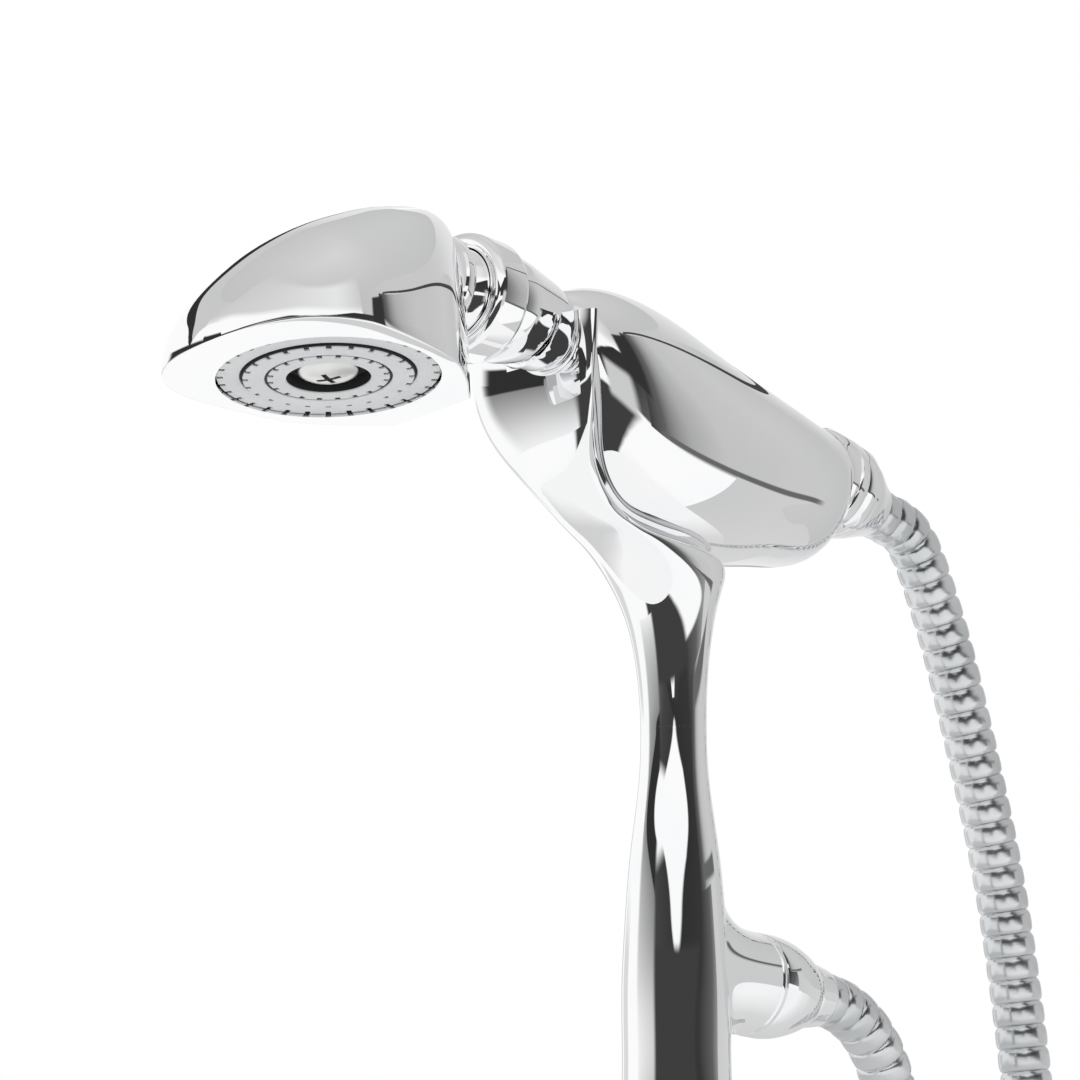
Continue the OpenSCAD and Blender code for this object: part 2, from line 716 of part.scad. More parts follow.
// ribbed tube with its bore along a route
module ribbed_tube(p, first, last, hint) {
  total = let (runs = run_lengths(smooth(p, 6))) runs[len(runs) - 1];
  ribs = round(total / rib_pitch);
  line = even(p, 2 * ribs);
  count = len(line) - 1;
  function dir(i) = i == 0 ? first : i == count ? last : heading(line, i);
  outer = [for (i = [0 : count])
    ring_at(line[i], dir(i), i % 2 == 1 ? hose_r : hose_r - 1.1, 8, hint)];
  inner_at = [for (i = [0 : 4 : count - 1]) i, count];
  inner = [for (k = [len(inner_at) - 1 : -1 : 0]) ring_at(line[inner_at[k]], dir(inner_at[k]), hose_bore_r, 8, hint)];
  rings = concat(outer, inner);
  faces = [for (i = [0 : len(rings) - 1], j = [0 : 7]) let (n = (i + 1) % len(rings)) each [
    [i * 8 + j, n * 8 + j, n * 8 + (j + 1) % 8], [i * 8 + j, n * 8 + (j + 1) % 8, i * 8 + (j + 1) % 8]]];
  echo(length = total, ribs = ribs);
  polyhedron(points = [for (ring = rings) each ring], faces = faces);
}

coil_head = unit(coil_points[1] - coil_points[0]);
coil_tail = unit(coil_points[42] - coil_points[41]);
module hose_drop() { color(chrome) ribbed_tube(concat(drop_points, [coil_points[0]]), tail_dir, coil_head, [1, 0, 0]); }

module hose_coil() { color(chrome) ribbed_tube(coil_points, coil_head, coil_tail, [0, 0, 1]); }

module hose_rise() {
  color(chrome) ribbed_tube(rise_points, coil_tail, [0, -1, 0], [1, 0, 0]);
}

// least gap of the stored loops and of the two free runs, measured on the centre lines
hose_line = concat(even(concat(drop_points, [coil_points[0]]), 60), even(coil_points, 140), even(rise_points, 40));
hose_gap = min([for (i = [0 : len(hose_line) - 12], j = [i + 11 : len(hose_line) - 1])
  norm(hose_line[i] - hose_line[j])]) - 2 * hose_r;
echo(least_gap = hose_gap);

// strap round the stored loops
tie_half = hose_r + coil_step / 2 + 0.2;
module hose_tie() {
  color(rubber) translate([coil_mid[0], coil_mid[1], 0]) rotate(90) translate([coil_radius(630), 0, coil_z])
    rotate([90, 0, 0]) translate([0, 0, -3]) difference() {
      translate([-tie_half - 1.4, -hose_r, 0]) cube([2 * tie_half + 2.8, 2 * hose_r + 1.6, 6]);
      translate([-tie_half, -hose_r - 1, -1]) cube([2 * tie_half, 2 * hose_r + 1.2, 8]);
    }
}

// handset

// piece on the tail axis, pointing along the hose
module at_tail() { translate(tail_start) rotate([-90 - tail_drop, 0, 0]) children(); }

module hose_cone_nut() {
  color(chrome) at_tail() translate([0, 0, tail_len_y]) difference() {
    rotate_extrude() polygon([[0, 0], [tail_collar_r - 0.6, 0], [tail_collar_r - 0.2, 1], [tail_collar_r - 0.2, 4],
      [tail_collar_r - 1.2, 5], [tail_collar_r - 1.2, 6.5], [hose_r + 0.6, cone_len], [0, cone_len]]);
    translate([0, 0, -1]) cylinder(r = hose_bore_r, h = cone_len + 2);
    translate([0, 0, -1]) cylinder(r = hose_r, h = 4);
  }
}

module tail_collar() {
  color(chrome) at_tail() difference() {
    union() {
      translate([0, 0, -6]) cylinder(r = hose_r, h = 7);
      difference() {
        rotate_extrude() polygon([[0, -4], [tail_collar_r, -4], [tail_collar_r, 2.8], [tail_collar_r - 0.7, 3.3],
          [tail_collar_r, 3.8], [tail_collar_r, tail_len_y - 0.6], [tail_collar_r - 0.5, tail_len_y], [0, tail_len_y]]);
        rotate([90 + tail_drop, 0, 0]) translate([-40, -60, -40]) cube([80, 60, 80]);
      }
      cylinder(r = hose_r, h = tail_len_y + 3);
    }
    translate([0, 0, -10]) cylinder(r = hose_bore_r, h = 30);
  }
}

module handle_body() {
  color(chrome) difference() {
    grip_form(0, grip_front, grip_back, 32);
    grip_form(-grip_wall, hollow_front, hollow_back, 24);
    translate([0, grip_front - 10, neck_z]) along_y() cylinder(r = neck_spigot_r, h = neck_spigot_len + 12);
    at_tail() translate([0, 0, -12]) cylinder(r = hose_r, h = 20);
  }
}

// turned neck with the ball socket in front and a spigot in the body
module neck() {
  color(chrome) translate([0, 0, neck_z]) along_y() difference() {
    union() {
      rotate_extrude() polygon([[0, neck_front], [neck_r - 0.5, neck_front], [neck_r - 0.5, collar_front],
        [neck_r, collar_front], [neck_r, collar_front + 5], [neck_r - 0.6, collar_front + 9],
        [neck_back_r + 0.6, neck_back - 6], [neck_back_r - 2, neck_back], [0, neck_back]]);
      translate([0, 0, neck_back - 1]) cylinder(r = neck_spigot_r, h = neck_spigot_len + 1);
    }
    translate([0, 0, neck_front - 1]) cylinder(r = socket_r, h = ball_y + ball_r + 3 - neck_front);
    translate([0, 0, neck_front]) cylinder(r = 5, h = 60);
  }
}

module ball_nut() {
  color(chrome) difference() {
    translate([0, ball_nut_front, neck_z]) along_y() difference() {
      rotate_extrude() polygon([[0, 0], [ball_nut_r - 2.4, 0], [ball_nut_r - 0.8, 0.8], [ball_nut_r, 2.2],
        [ball_nut_r, collar_front - ball_nut_front - 2], [ball_nut_r - 1, collar_front - ball_nut_front - 0.2],
        [0, collar_front - ball_nut_front - 0.2]]);
      translate([0, 0, neck_front - ball_nut_front]) cylinder(r = neck_r - 0.5, h = 20);
    }
    translate([0, ball_y, neck_z]) sphere(r = ball_r + 0.3);
  }
}

// plastic cup behind the ball, turning with it in the neck
module ball_seat() {
  color(grey) difference() {
    translate([0, ball_y + 4, neck_z]) along_y() tube(socket_r - run_gap, 5, ball_r - 3.1);
    translate([0, ball_y, neck_z]) sphere(r = ball_r + 0.3);
  }
}

module ball_seal() {
  color(rubber) translate([0, ball_y + ball_r + 1, neck_z]) along_y() tube(socket_r, 6, 1);
}

// ball with its lip ring and threaded stem, bored for the water
module swivel_ball() {
  color(chrome) translate([0, 0, neck_z]) along_y() difference() {
    union() {
      intersection() {
        translate([0, 0, ball_y]) sphere(r = ball_r);
        translate([0, 0, ball_y - 20]) cylinder(r = 20, h = 29);
      }
      translate([0, 0, head_back]) cylinder(r = ball_r - 3.5, h = 8);
      translate([0, 0, head_back]) cylinder(r = ball_r + 0.6, h = 3.6);
      translate([0, 0, head_back - 9]) cylinder(r = 7, h = 10);
    }
    translate([0, 0, head_back - 12]) cylinder(r = 4, h = 60);
  }
}

// spray head

// stations of the head: share of the length from the tip, half width, height, squareness of the arch
function head_stations() = [
  [0, 3, 3.5, 2], [0.012, 11, 7, 2], [0.045, 18.5, 12, 2], [0.09, 23.8, 17, 2.1], [0.17, 28.4, 23.4, 2.1],
  [0.27, 30.9, 29.6, 2.2], [0.39, 31, 35.4, 2.2], [0.52, 30, 40.2, 2.3], [0.64, 28.6, 43.8, 2.5],
  [0.73, 26.6, 45.6, 2.7], [0.82, 22.8, 47.2, 3], [0.9, 18.6, 47.8, 3.4], [0.96, 14.8, 47.6, 3.8], [1, 12.5, 46.5, 4]];

function power(v, e) = v == 0 ? 0 : sign(v) * pow(abs(v), e);

// one arch of the head: flat below, round or square above
function head_ring(s, sides) = [for (k = [0 : sides]) let (a = 180 * k / sides) [
  s[1] * head_w / 62 * power(cos(a), 2 / s[3]), head_back - head_len * (1 - s[0]),
  face_z + s[2] * head_h / 48 * power(sin(a), 2 / s[3])]];

// the hollow of the head at one station, a wall inside the arch and above the plate seat
function hollow_ring(s, sides) = [for (k = [0 : sides]) let (a = 180 * k / sides) [
  (s[1] * head_w / 62 - head_wall) * power(cos(a), 2 / s[3]), head_back - head_len * (1 - s[0]),
  chamber_z + (s[2] * head_h / 48 - head_wall - chamber_z + face_z) * power(sin(a), 2 / s[3])]];

module head_shell() {
  color(chrome) difference() {
    skin([for (s = smooth(head_stations(), 2)) head_ring(s, 26)]);
    translate([0, disc_y, face_z - 1]) cylinder(r = plate_r, h = plate_z + plate_t - face_z + 1);
    translate([0, disc_y, chamber_z - 1]) cylinder(r = plate_r - 4, h = 1 + eps);
    difference() {
      skin([for (s = smooth(head_stations(), 2)) if (s[0] > 0.15 && s[0] < 0.91) hollow_ring(s, 20)]);
      translate([0, disc_y, chamber_z]) cylinder(r = boss_r, h = 60);
    }
    translate([0, disc_y, plate_z]) cylinder(r = thread_r, h = 14);
    translate([0, head_back - 9, neck_z]) along_y() cylinder(r = 7, h = 12);
  }
}

// spray plate with three rings of water slots round a screw recess
module spray_plate() {
  color(grey) translate([0, disc_y, plate_z]) difference() {
    cylinder(r = plate_r, h = plate_t);
    translate([0, 0, -1]) cylinder(r = recess_r, h = 2.4);
    translate([0, 0, -1]) cylinder(r = thread_r, h = plate_t + 2);
    ring_of_slots(plate_r, ring_slots);
    ring_of_slots(ring_mid, round(ring_slots * 0.75));
    ring_of_slots(ring_in, round(ring_slots * 0.62));
  }
}

module ring_of_slots(r, count) {
  for (i = [0 : count - 1]) rotate(360 * i / count) translate([r - 0.5, -0.8, -1]) cube([1.1, 1.6, plate_t + 2]);
}

module spray_gasket() {
  color(rubber) translate([0, disc_y, plate_z + plate_t]) tube(boss_r, thread_r, 1);
}

module spray_screw() {
  color(grey) translate([0, disc_y, plate_z]) difference() {
    union() {
      intersection() {
        translate([0, 0, 1.4 + 8]) sphere(r = 10.2);
        translate([0, 0, -1.2]) cylinder(r = screw_r, h = 2.6);
      }
      cylinder(r = thread_r, h = 13);
    }
    for (a = [0, 90]) rotate(a) cube([7, 1.1, 2.2], center = true);
  }
}

inlet_tails();
flange_gaskets();
hot_leg();
cold_leg();
check_valves();
leg_seals();
mixer_body();
hot_cartridge();
cold_cartridge();
valve_seats();
hot_fixed_disc();
cold_fixed_disc();
spindle_seals();
valve_shrouds();
hot_spindle();
hot_moving_disc();
hot_handle();
hot_screw();
hot_index();
cold_spindle();
cold_moving_disc();
cold_handle();
cold_screw();
cold_index();
spout();
spout_seal();
aerator_shell();
aerator_core();
aerator_seal();
diverter_bonnet();
diverter_rod();
diverter_knob();
diverter_washer();
column();
column_seal();
cradle();
cradle_screw();
outlet_nipple();
outlet_washer();
hose_union_nut();
hose_ferrule();
hose_rise();
hose_coil();
hose_tie();
hose_drop();
hose_cone_nut();
handle_body();
neck();
ball_nut();
tail_collar();
ball_seat();
ball_seal();
swivel_ball();
head_shell();
spray_plate();
spray_gasket();
spray_screw();
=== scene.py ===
"""Looks of a chromed bath shower mixer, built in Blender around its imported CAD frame.

Lengths in the classes are millimetres in the CAD frame: Z up, deck plane at z = 0, front towards -Y.
"""

import json
import logging
import math
from contextlib import contextmanager
from dataclasses import dataclass
from enum import Enum
from typing import Callable, Iterable, Iterator, Optional, Sequence

import bmesh
import bpy
import numpy as np
from mathutils import Matrix, Vector

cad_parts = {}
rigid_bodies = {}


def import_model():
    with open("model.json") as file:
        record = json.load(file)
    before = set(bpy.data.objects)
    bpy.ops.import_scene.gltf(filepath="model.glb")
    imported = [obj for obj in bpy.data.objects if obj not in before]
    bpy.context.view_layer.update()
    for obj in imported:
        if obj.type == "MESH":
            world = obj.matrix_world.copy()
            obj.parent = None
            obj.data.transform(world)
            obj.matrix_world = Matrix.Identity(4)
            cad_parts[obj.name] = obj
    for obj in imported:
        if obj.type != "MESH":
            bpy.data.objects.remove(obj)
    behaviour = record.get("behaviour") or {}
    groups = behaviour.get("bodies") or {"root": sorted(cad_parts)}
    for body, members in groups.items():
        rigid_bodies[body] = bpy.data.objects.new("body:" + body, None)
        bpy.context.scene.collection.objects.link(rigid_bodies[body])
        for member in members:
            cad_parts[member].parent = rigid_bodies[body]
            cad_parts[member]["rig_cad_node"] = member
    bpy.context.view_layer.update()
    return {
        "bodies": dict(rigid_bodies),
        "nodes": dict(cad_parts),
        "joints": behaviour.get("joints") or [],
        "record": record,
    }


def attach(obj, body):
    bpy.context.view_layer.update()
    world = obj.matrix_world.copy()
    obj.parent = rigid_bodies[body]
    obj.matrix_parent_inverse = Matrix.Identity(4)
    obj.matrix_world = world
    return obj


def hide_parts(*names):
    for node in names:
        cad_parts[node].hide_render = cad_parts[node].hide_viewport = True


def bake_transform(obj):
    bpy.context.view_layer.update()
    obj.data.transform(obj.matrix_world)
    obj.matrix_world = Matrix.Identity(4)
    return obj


LOG = logging.getLogger("mixer")
MM = 0.001
# A lathe's end cap is a fan, so its middle corner has more edges than this
CAP_EDGES = 24
Point = tuple[float, float, float]
Pair = tuple[float, float]
Piece = bpy.types.Object
Tree = bpy.types.NodeTree
Socket = bpy.types.NodeSocket


class Body(str, Enum):
    """Moving bodies of the CAD frame."""

    MIXER = "mixer"
    HOT = "hot_valve"
    COLD = "cold_valve"
    DIVERTER = "diverter"
    HANDSET = "handset"
    SWIVEL = "swivel"
    HEAD = "head"


# Small tools for curves and meshes


def run_lengths(line: np.ndarray) -> np.ndarray:
    """Give the length run at each point of a line, from 0 at its start."""
    return np.concatenate([[0.0], np.cumsum(np.linalg.norm(np.diff(line, axis=0), axis=1))])


def resample(line: np.ndarray, values: np.ndarray, places: Sequence[float]) -> np.ndarray:
    """Read values that belong to a line's points at places given by the length run."""
    at = run_lengths(line)
    return np.stack([np.interp(places, at, column) for column in values.T], axis=1)


def natural_curve(knots: Sequence[Sequence[float]], count: int) -> np.ndarray:
    """Run a smooth natural cubic curve through given knots.

    Args:
        knots: rows of values, one row for each knot.
        count: number of places along the curve, spaced by chord length.

    Returns:
        An array of count rows.
    """
    rows = np.array(knots, float)
    steps = np.linalg.norm(np.diff(rows, axis=0), axis=1)
    at = run_lengths(rows)
    size = len(rows)
    matrix = np.eye(size)
    right = np.zeros_like(rows)
    for i in range(1, size - 1):
        matrix[i, i - 1 : i + 2] = steps[i - 1], 2 * (steps[i - 1] + steps[i]), steps[i]
        right[i] = 6 * ((rows[i + 1] - rows[i]) / steps[i] - (rows[i] - rows[i - 1]) / steps[i - 1])
    bend = np.linalg.solve(matrix, right)
    places = np.linspace(0, at[-1], count)
    left = np.clip(np.searchsorted(at, places, side="right") - 1, 0, size - 2)
    width = steps[left][:, None]
    a = (at[left + 1] - places)[:, None] / width
    b = 1 - a
    curved = (a**3 - a) * bend[left] + (b**3 - b) * bend[left + 1]
    return a * rows[left] + b * rows[left + 1] + curved * width**2 / 6


def smooth_profile(knots: Sequence[Pair], count: int) -> list[Pair]:
    """Give a natural curve through pairs as a list of plain pairs."""
    return [(float(first), float(second)) for first, second in natural_curve(knots, count)]


def stepped(radius: float, height: float, *steps: Pair) -> list[Pair]:
    """Give the points of a profile as steps out and up from a radius and a height."""
    return [(radius + out, height + up) for out, up in steps]


def circle_turns(sides: int) -> list[float]:
    """Give the angles of a ring's corners in radians."""
    return [2 * math.pi * k / sides for k in range(sides)]


def signed_power(value: float, power: float) -> float:
    """Raise the size of a value to a power and keep its sign."""
    return math.copysign(abs(value) ** power, value)


def deselect() -> None:
    """Leave nothing selected, so that an operator acts only on what follows."""
    if bpy.context.object is not None and bpy.context.object.mode != "OBJECT":
        bpy.ops.object.mode_set(mode="OBJECT")
    bpy.ops.object.select_all(action="DESELECT")


def choose(piece: Piece) -> None:
    """Make one object the only selected and active one."""
    deselect()
    piece.select_set(True)
    bpy.context.view_layer.objects.active = piece


@contextmanager
def editing(piece: Piece) -> Iterator[None]:
    """Hold one object in edit mode."""
    choose(piece)
    bpy.ops.object.mode_set(mode="EDIT")
    yield
    bpy.ops.object.mode_set(mode="OBJECT")


def apply_modifier(piece: Piece, kind: str, **settings: object) -> None:
    """Add a modifier with its settings and apply it.

    Args:
        piece: mesh object that gets it.
        kind: Blender's modifier type.
        settings: modifier properties by name.
    """
    choose(piece)
    made = piece.modifiers.new(kind.title(), kind)
    for name, value in settings.items():
        setattr(made, name, value)
    bpy.ops.object.modifier_apply(modifier=made.name)


def cut(piece: Piece, tool: Piece) -> None:
    """Cut a mesh with a closed tool, which is then removed."""
    apply_modifier(piece, "BOOLEAN", object=tool, operation="DIFFERENCE", solver="EXACT")
    bpy.data.objects.remove(tool)


def soften_edges(piece: Piece, width: float, angle: float) -> None:
    """Bevel the edges that are sharper than an angle.

    Args:
        piece: mesh object.
        width: bevel width in millimetres.
        angle: least angle of a bevelled edge in degrees.
    """
    limit = math.radians(angle)
    apply_modifier(piece, "BEVEL", width=width * MM, segments=2, limit_method="ANGLE", angle_limit=limit)


def shade(piece: Piece, angle: float = 32.0) -> None:
    """Shade smooth, apart from edges sharper than the angle in degrees."""
    choose(piece)
    bpy.ops.object.shade_smooth_by_angle(angle=math.radians(angle))


def face_outwards(piece: Piece) -> None:
    """Merge doubles and turn every face to the outside."""
    with editing(piece):
        bpy.ops.mesh.select_all(action="SELECT")
        bpy.ops.mesh.remove_doubles(threshold=1e-6)
        bpy.ops.mesh.normals_make_consistent(inside=False)


def settle(piece: Piece, place: Matrix) -> None:
    """Move a mesh to its place and leave its object at the origin."""
    piece.data.transform(place)
    piece.matrix_world = Matrix.Identity(4)
    piece.data.update()


def along(start: Point, direction: Point) -> Matrix:
    """Make the matrix that puts a Z axis piece on a line.

    Args:
        start: place of the piece's origin in millimetres.
        direction: where its Z axis points.

    Returns:
        A matrix in metres.
    """
    turn = Vector((0, 0, 1)).rotation_difference(Vector(direction)).to_matrix().to_4x4()
    return Matrix.Translation(Vector(start) * MM) @ turn


def turned(name: str, profile: Sequence[Pair], place: Matrix, sides: int = 128) -> Piece:
    """Turn a profile on its axis, ring by ring, as on a lathe.

    Args:
        name: piece name.
        profile: pairs of radius and height in millimetres, in order; a radius of 0 closes an end.
        place: matrix from the lathe's Z axis to the frame.
        sides: corners of each ring.

    Returns:
        The mesh object, closed at both ends.
    """
    rings = [pair for pair in profile if pair[0] > 0]
    first_radius, first_height = [value * MM for value in rings[0]]
    deselect()
    bpy.ops.mesh.primitive_circle_add(
        vertices=sides, radius=first_radius, fill_type="TRIFAN", location=(0, 0, first_height)
    )
    piece = bpy.context.object
    piece.name = name
    bpy.ops.object.transform_apply(location=True, rotation=True, scale=True)
    with editing(piece):
        select_ring(piece, first_height, first_radius)
        for (radius, height), (next_radius, next_height) in zip(rings, rings[1:]):
            climb = (0, 0, (next_height - height) * MM)
            bpy.ops.mesh.extrude_edges_move(TRANSFORM_OT_translate={"value": climb})
            share = next_radius / radius
            bpy.ops.transform.resize(value=(share, share, 1), center_override=(0, 0, next_height * MM))
        bpy.ops.mesh.edge_face_add()
        bpy.ops.mesh.poke()
    settle(piece, place)
    face_outwards(piece)
    shade(piece)
    return piece


def select_ring(piece: Piece, height: float, radius: float) -> None:
    """Select the edges of one ring of a lathe piece in edit mode, by their place.

    Args:
        piece: mesh object in edit mode.
        height: height of the ring in metres.
        radius: radius of the ring in metres.
    """
    bpy.ops.mesh.select_all(action="DESELECT")
    bpy.ops.mesh.select_mode(type="EDGE")
    form = bmesh.from_edit_mesh(piece.data)
    for edge in form.edges:
        places = [(corner.co.z - height, corner.co.xy.length - radius) for corner in edge.verts]
        edge.select_set(all(abs(off) < 1e-7 and abs(out) < 1e-6 for off, out in places))
    bmesh.update_edit_mesh(piece.data)


def open_middle(piece: Piece) -> None:
    """Delete the lathe's end caps of a ring whose first and last rings meet, and weld it."""
    with editing(piece):
        form = bmesh.from_edit_mesh(piece.data)
        caps = [corner for corner in form.verts if len(corner.link_edges) > CAP_EDGES]
        bmesh.ops.delete(form, geom=caps, context="VERTS")
        bmesh.update_edit_mesh(piece.data)
    face_outwards(piece)
    shade(piece)


def lofted(name: str, rings: Sequence[Sequence[Point]], angle: float) -> Piece:
    """Draw a skin through closed rings with the same number of points.

    A grid primitive with a row for each station is rolled up: its corners go to the stations' outlines, the
    seam is welded and the two ends are filled.

    Args:
        name: piece name.
        rings: closed outlines in millimetres.
        angle: edges sharper than this many degrees stay sharp.

    Returns:
        The mesh object, closed at both ends.
    """
    points = np.array(rings, float) * MM
    stations, sides = points.shape[:2]
    deselect()
    bpy.ops.mesh.primitive_grid_add(x_subdivisions=sides, y_subdivisions=stations - 1, size=1)
    piece = bpy.context.object
    piece.name = name
    closed = np.concatenate([points, points[:, :1]], axis=1)
    piece.data.vertices.foreach_set("co", closed.reshape(-1))
    piece.data.update()
    with editing(piece):
        bpy.ops.mesh.select_all(action="SELECT")
        bpy.ops.mesh.remove_doubles(threshold=1e-7)
        bpy.ops.mesh.select_all(action="DESELECT")
        bpy.ops.mesh.select_non_manifold()
        bpy.ops.mesh.edge_face_add()
    close_ends(piece)
    face_outwards(piece)
    shade(piece, angle)
    return piece


def close_ends(piece: Piece) -> None:
    """Fill every open edge loop of a mesh."""
    with editing(piece):
        bpy.ops.mesh.select_mode(type="EDGE")
        bpy.ops.mesh.select_all(action="DESELECT")
        bpy.ops.mesh.select_non_manifold()
        bpy.ops.mesh.fill_holes(sides=0)


def drum(radius: float, length: float, place: Matrix, sides: int = 96) -> Piece:
    """Make a closed cylinder as a cutting tool, from its place along its axis."""
    return turned("cutter", [(radius, 0), (radius, length)], place, sides)


def block(low: Point, high: Point) -> Piece:
    """Make a closed box as a cutting tool, between two corners in millimetres."""
    deselect()
    bpy.ops.mesh.primitive_cube_add(size=1)
    tool = bpy.context.object
    size = [(b - a) * MM for a, b in zip(low, high)]
    middle = [(a + b) / 2 * MM for a, b in zip(low, high)]
    settle(tool, Matrix.Translation(middle) @ Matrix.Diagonal((*size, 1)))
    return tool


# Finishes


def linear(code: str) -> tuple[float, float, float, float]:
    """Turn an sRGB hex colour into linear values with full alpha."""
    channels = [int(code[i : i + 2], 16) / 255 for i in (0, 2, 4)]
    red, green, blue = [c / 12.92 if c <= 0.04045 else ((c + 0.055) / 1.055) ** 2.4 for c in channels]
    return red, green, blue, 1.0


def add_node(
    tree: Tree, kind: str, inputs: Optional[dict] = None, **settings: object
) -> bpy.types.Node:
    """Add a shader node, set it up and link it.

    Args:
        tree: node tree that gets the node.
        kind: Blender's node type.
        inputs: values or output sockets by input name or number.
        settings: node properties by name.

    Returns:
        The new node.
    """
    node = tree.nodes.new(kind)
    for name, value in settings.items():
        setattr(node, name, value)
    for key, value in (inputs or {}).items():
        if isinstance(value, Socket):
            tree.links.new(value, node.inputs[key])
        else:
            node.inputs[key].default_value = value
    return node


def ramp(tree: Tree, factor: Socket, stops: Sequence[tuple]) -> Socket:
    """Add a colour ramp with its stops.

    Args:
        tree: node tree.
        factor: socket that drives the ramp.
        stops: pairs of place and linear colour.

    Returns:
        The colour output.
    """
    node = add_node(tree, "ShaderNodeValToRGB", {"Fac": factor})
    elements = node.color_ramp.elements
    while len(elements) < len(stops):
        elements.new(0.5)
    for element, (place, colour) in zip(elements, stops):
        element.position = place
        element.color = colour
    return node.outputs["Color"]


def calc(tree: Tree, operation: str, *values: object) -> Socket:
    """Add a maths node on numbers or sockets and give its result."""
    return add_node(tree, "ShaderNodeMath", dict(enumerate(values)), operation=operation).outputs[0]


def spread(tree: Tree, value: Socket, source: Pair, target: Pair, **settings: object) -> Socket:
    """Map a value from one range to another and hold it inside.

    Args:
        tree: node tree.
        value: socket that is mapped.
        source: ends of its range.
        target: what the ends become.
        settings: node properties by name.

    Returns:
        The mapped value.
    """
    inputs = {"Value": value, "From Min": source[0], "From Max": source[1]}
    inputs |= {"To Min": target[0], "To Max": target[1]}
    return add_node(tree, "ShaderNodeMapRange", inputs, **settings).outputs["Result"]


def blank_material(name: str) -> tuple[bpy.types.Material, Tree]:
    """Make a material with an empty node tree and give both."""
    made = bpy.data.materials.new(name)
    made.use_nodes = True
    made.node_tree.nodes.clear()
    return made, made.node_tree


@dataclass(frozen=True)
class Finish:
    """One real surface: its colours, gloss and the size of its fine pattern.

    Attributes:
        name: material name.
        slot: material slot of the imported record.
        light: sRGB hex of the surface.
        dark: sRGB hex of its darker places.
        metallic: 1 for a metal.
        roughness: gloss of the clean surface.
        smudge: how much the worn or dull places add to the roughness.
        grain: size of the fine pattern in millimetres.
        relief: height of the fine pattern in millimetres.
        patch: worn and dull places in a metre, the same on every surface.
    """

    name: str
    slot: str
    light: str
    dark: str
    metallic: float
    roughness: float
    smudge: float
    grain: float
    relief: float
    patch: float = 45.0

    def material(self) -> bpy.types.Material:
        """Build the material once, and give the same one after that."""
        found = bpy.data.materials.get(self.name)
        if found is not None:
            return found
        made, tree = blank_material(self.name)
        place = add_node(tree, "ShaderNodeTexCoord").outputs["Object"]
        fine = {"Vector": place, "Scale": 1 / (self.grain * MM), "Detail": 4.0}
        cloud = add_node(tree, "ShaderNodeTexNoise", fine).outputs["Fac"]
        wide = {"Vector": place, "Scale": self.patch, "Detail": 3.0}
        patches = add_node(tree, "ShaderNodeTexNoise", wide).outputs["Fac"]
        colour = ramp(tree, patches, [(0.3, linear(self.dark)), (0.62, linear(self.light))])
        gloss = spread(tree, patches, (0.35, 0.75), (self.roughness, self.roughness + self.smudge))
        height = {"Height": cloud, "Strength": 1.0, "Distance": self.relief * MM}
        bump = add_node(tree, "ShaderNodeBump", height).outputs["Normal"]
        look = {"Base Color": colour, "Metallic": self.metallic, "Roughness": gloss, "Normal": bump}
        shader = add_node(tree, "ShaderNodeBsdfPrincipled", look)
        add_node(tree, "ShaderNodeOutputMaterial", {"Surface": shader.outputs["BSDF"]})
        return made

    def dress(self, piece: Piece) -> None:
        """Give a piece this finish."""
        piece.data.materials.clear()
        piece.data.materials.append(self.material())


# Chrome plating over polished brass: a near-perfect mirror with faint wipe marks
CHROME = Finish("mirror_chrome_plating", "chrome", "fbfbfc", "f7f8f9", 1.0, 0.012, 0.02, 0.8, 0.0)
# Chrome on the cast shells of the handset: the same mirror
SHELL_CHROME = Finish(
    "mirror_chrome_on_castings", "chrome_shell", "fbfbfc", "f7f8f9", 1.0, 0.012, 0.02, 6.0, 0.0
)
# Stainless strip wound into the hose: bright, with the brushed dullness of a rolled edge
HOSE_STEEL = Finish("wound_stainless_hose", "hose", "dfe1e3", "cdd0d2", 1.0, 0.18, 0.06, 0.5, 0.01)
# Moulded satin plastic of the spray face
SPRAY_GREY = Finish("satin_moulded_spray_face", "spray_face", "e0e1e2", "d6d8da", 0.0, 0.42, 0.1, 0.35, 0.01)
# Nickel-plated screw, tumbled, with a mottled shine
NICKEL = Finish("tumbled_nickel_screw", "steel", "fafaf8", "cfcfcd", 1.0, 0.24, 0.2, 0.9, 0.04)
BRASS = Finish("machined_brass", "brass", "d8b468", "b48a44", 1.0, 0.26, 0.14, 0.3, 0.01)
RUBBER = Finish("moulded_rubber", "rubber", "2b2b2c", "1d1d1e", 0.0, 0.62, 0.16, 0.3, 0.02)
CERAMIC = Finish("lapped_ceramic", "ceramic", "f1eee5", "e4e0d5", 0.0, 0.16, 0.08, 0.2, 0.0)
PLASTIC = Finish("moulded_acetal", "plastic", "8d8f92", "7b7d80", 0.0, 0.42, 0.12, 0.25, 0.01)
HOT_ENAMEL = Finish("red_index_enamel", "hot_mark", "b3221f", "9d1a18", 0.0, 0.18, 0.08, 0.3, 0.0)
COLD_ENAMEL = Finish("blue_index_enamel", "cold_mark", "1f4aa0", "183c86", 0.0, 0.18, 0.08, 0.3, 0.0)


# What every slot of the record looks like
FINISHES = {
    finish.slot: finish
    for finish in (
        CHROME, SHELL_CHROME, HOSE_STEEL, SPRAY_GREY, NICKEL, BRASS,
        RUBBER, CERAMIC, PLASTIC, HOT_ENAMEL, COLD_ENAMEL,
    )
}


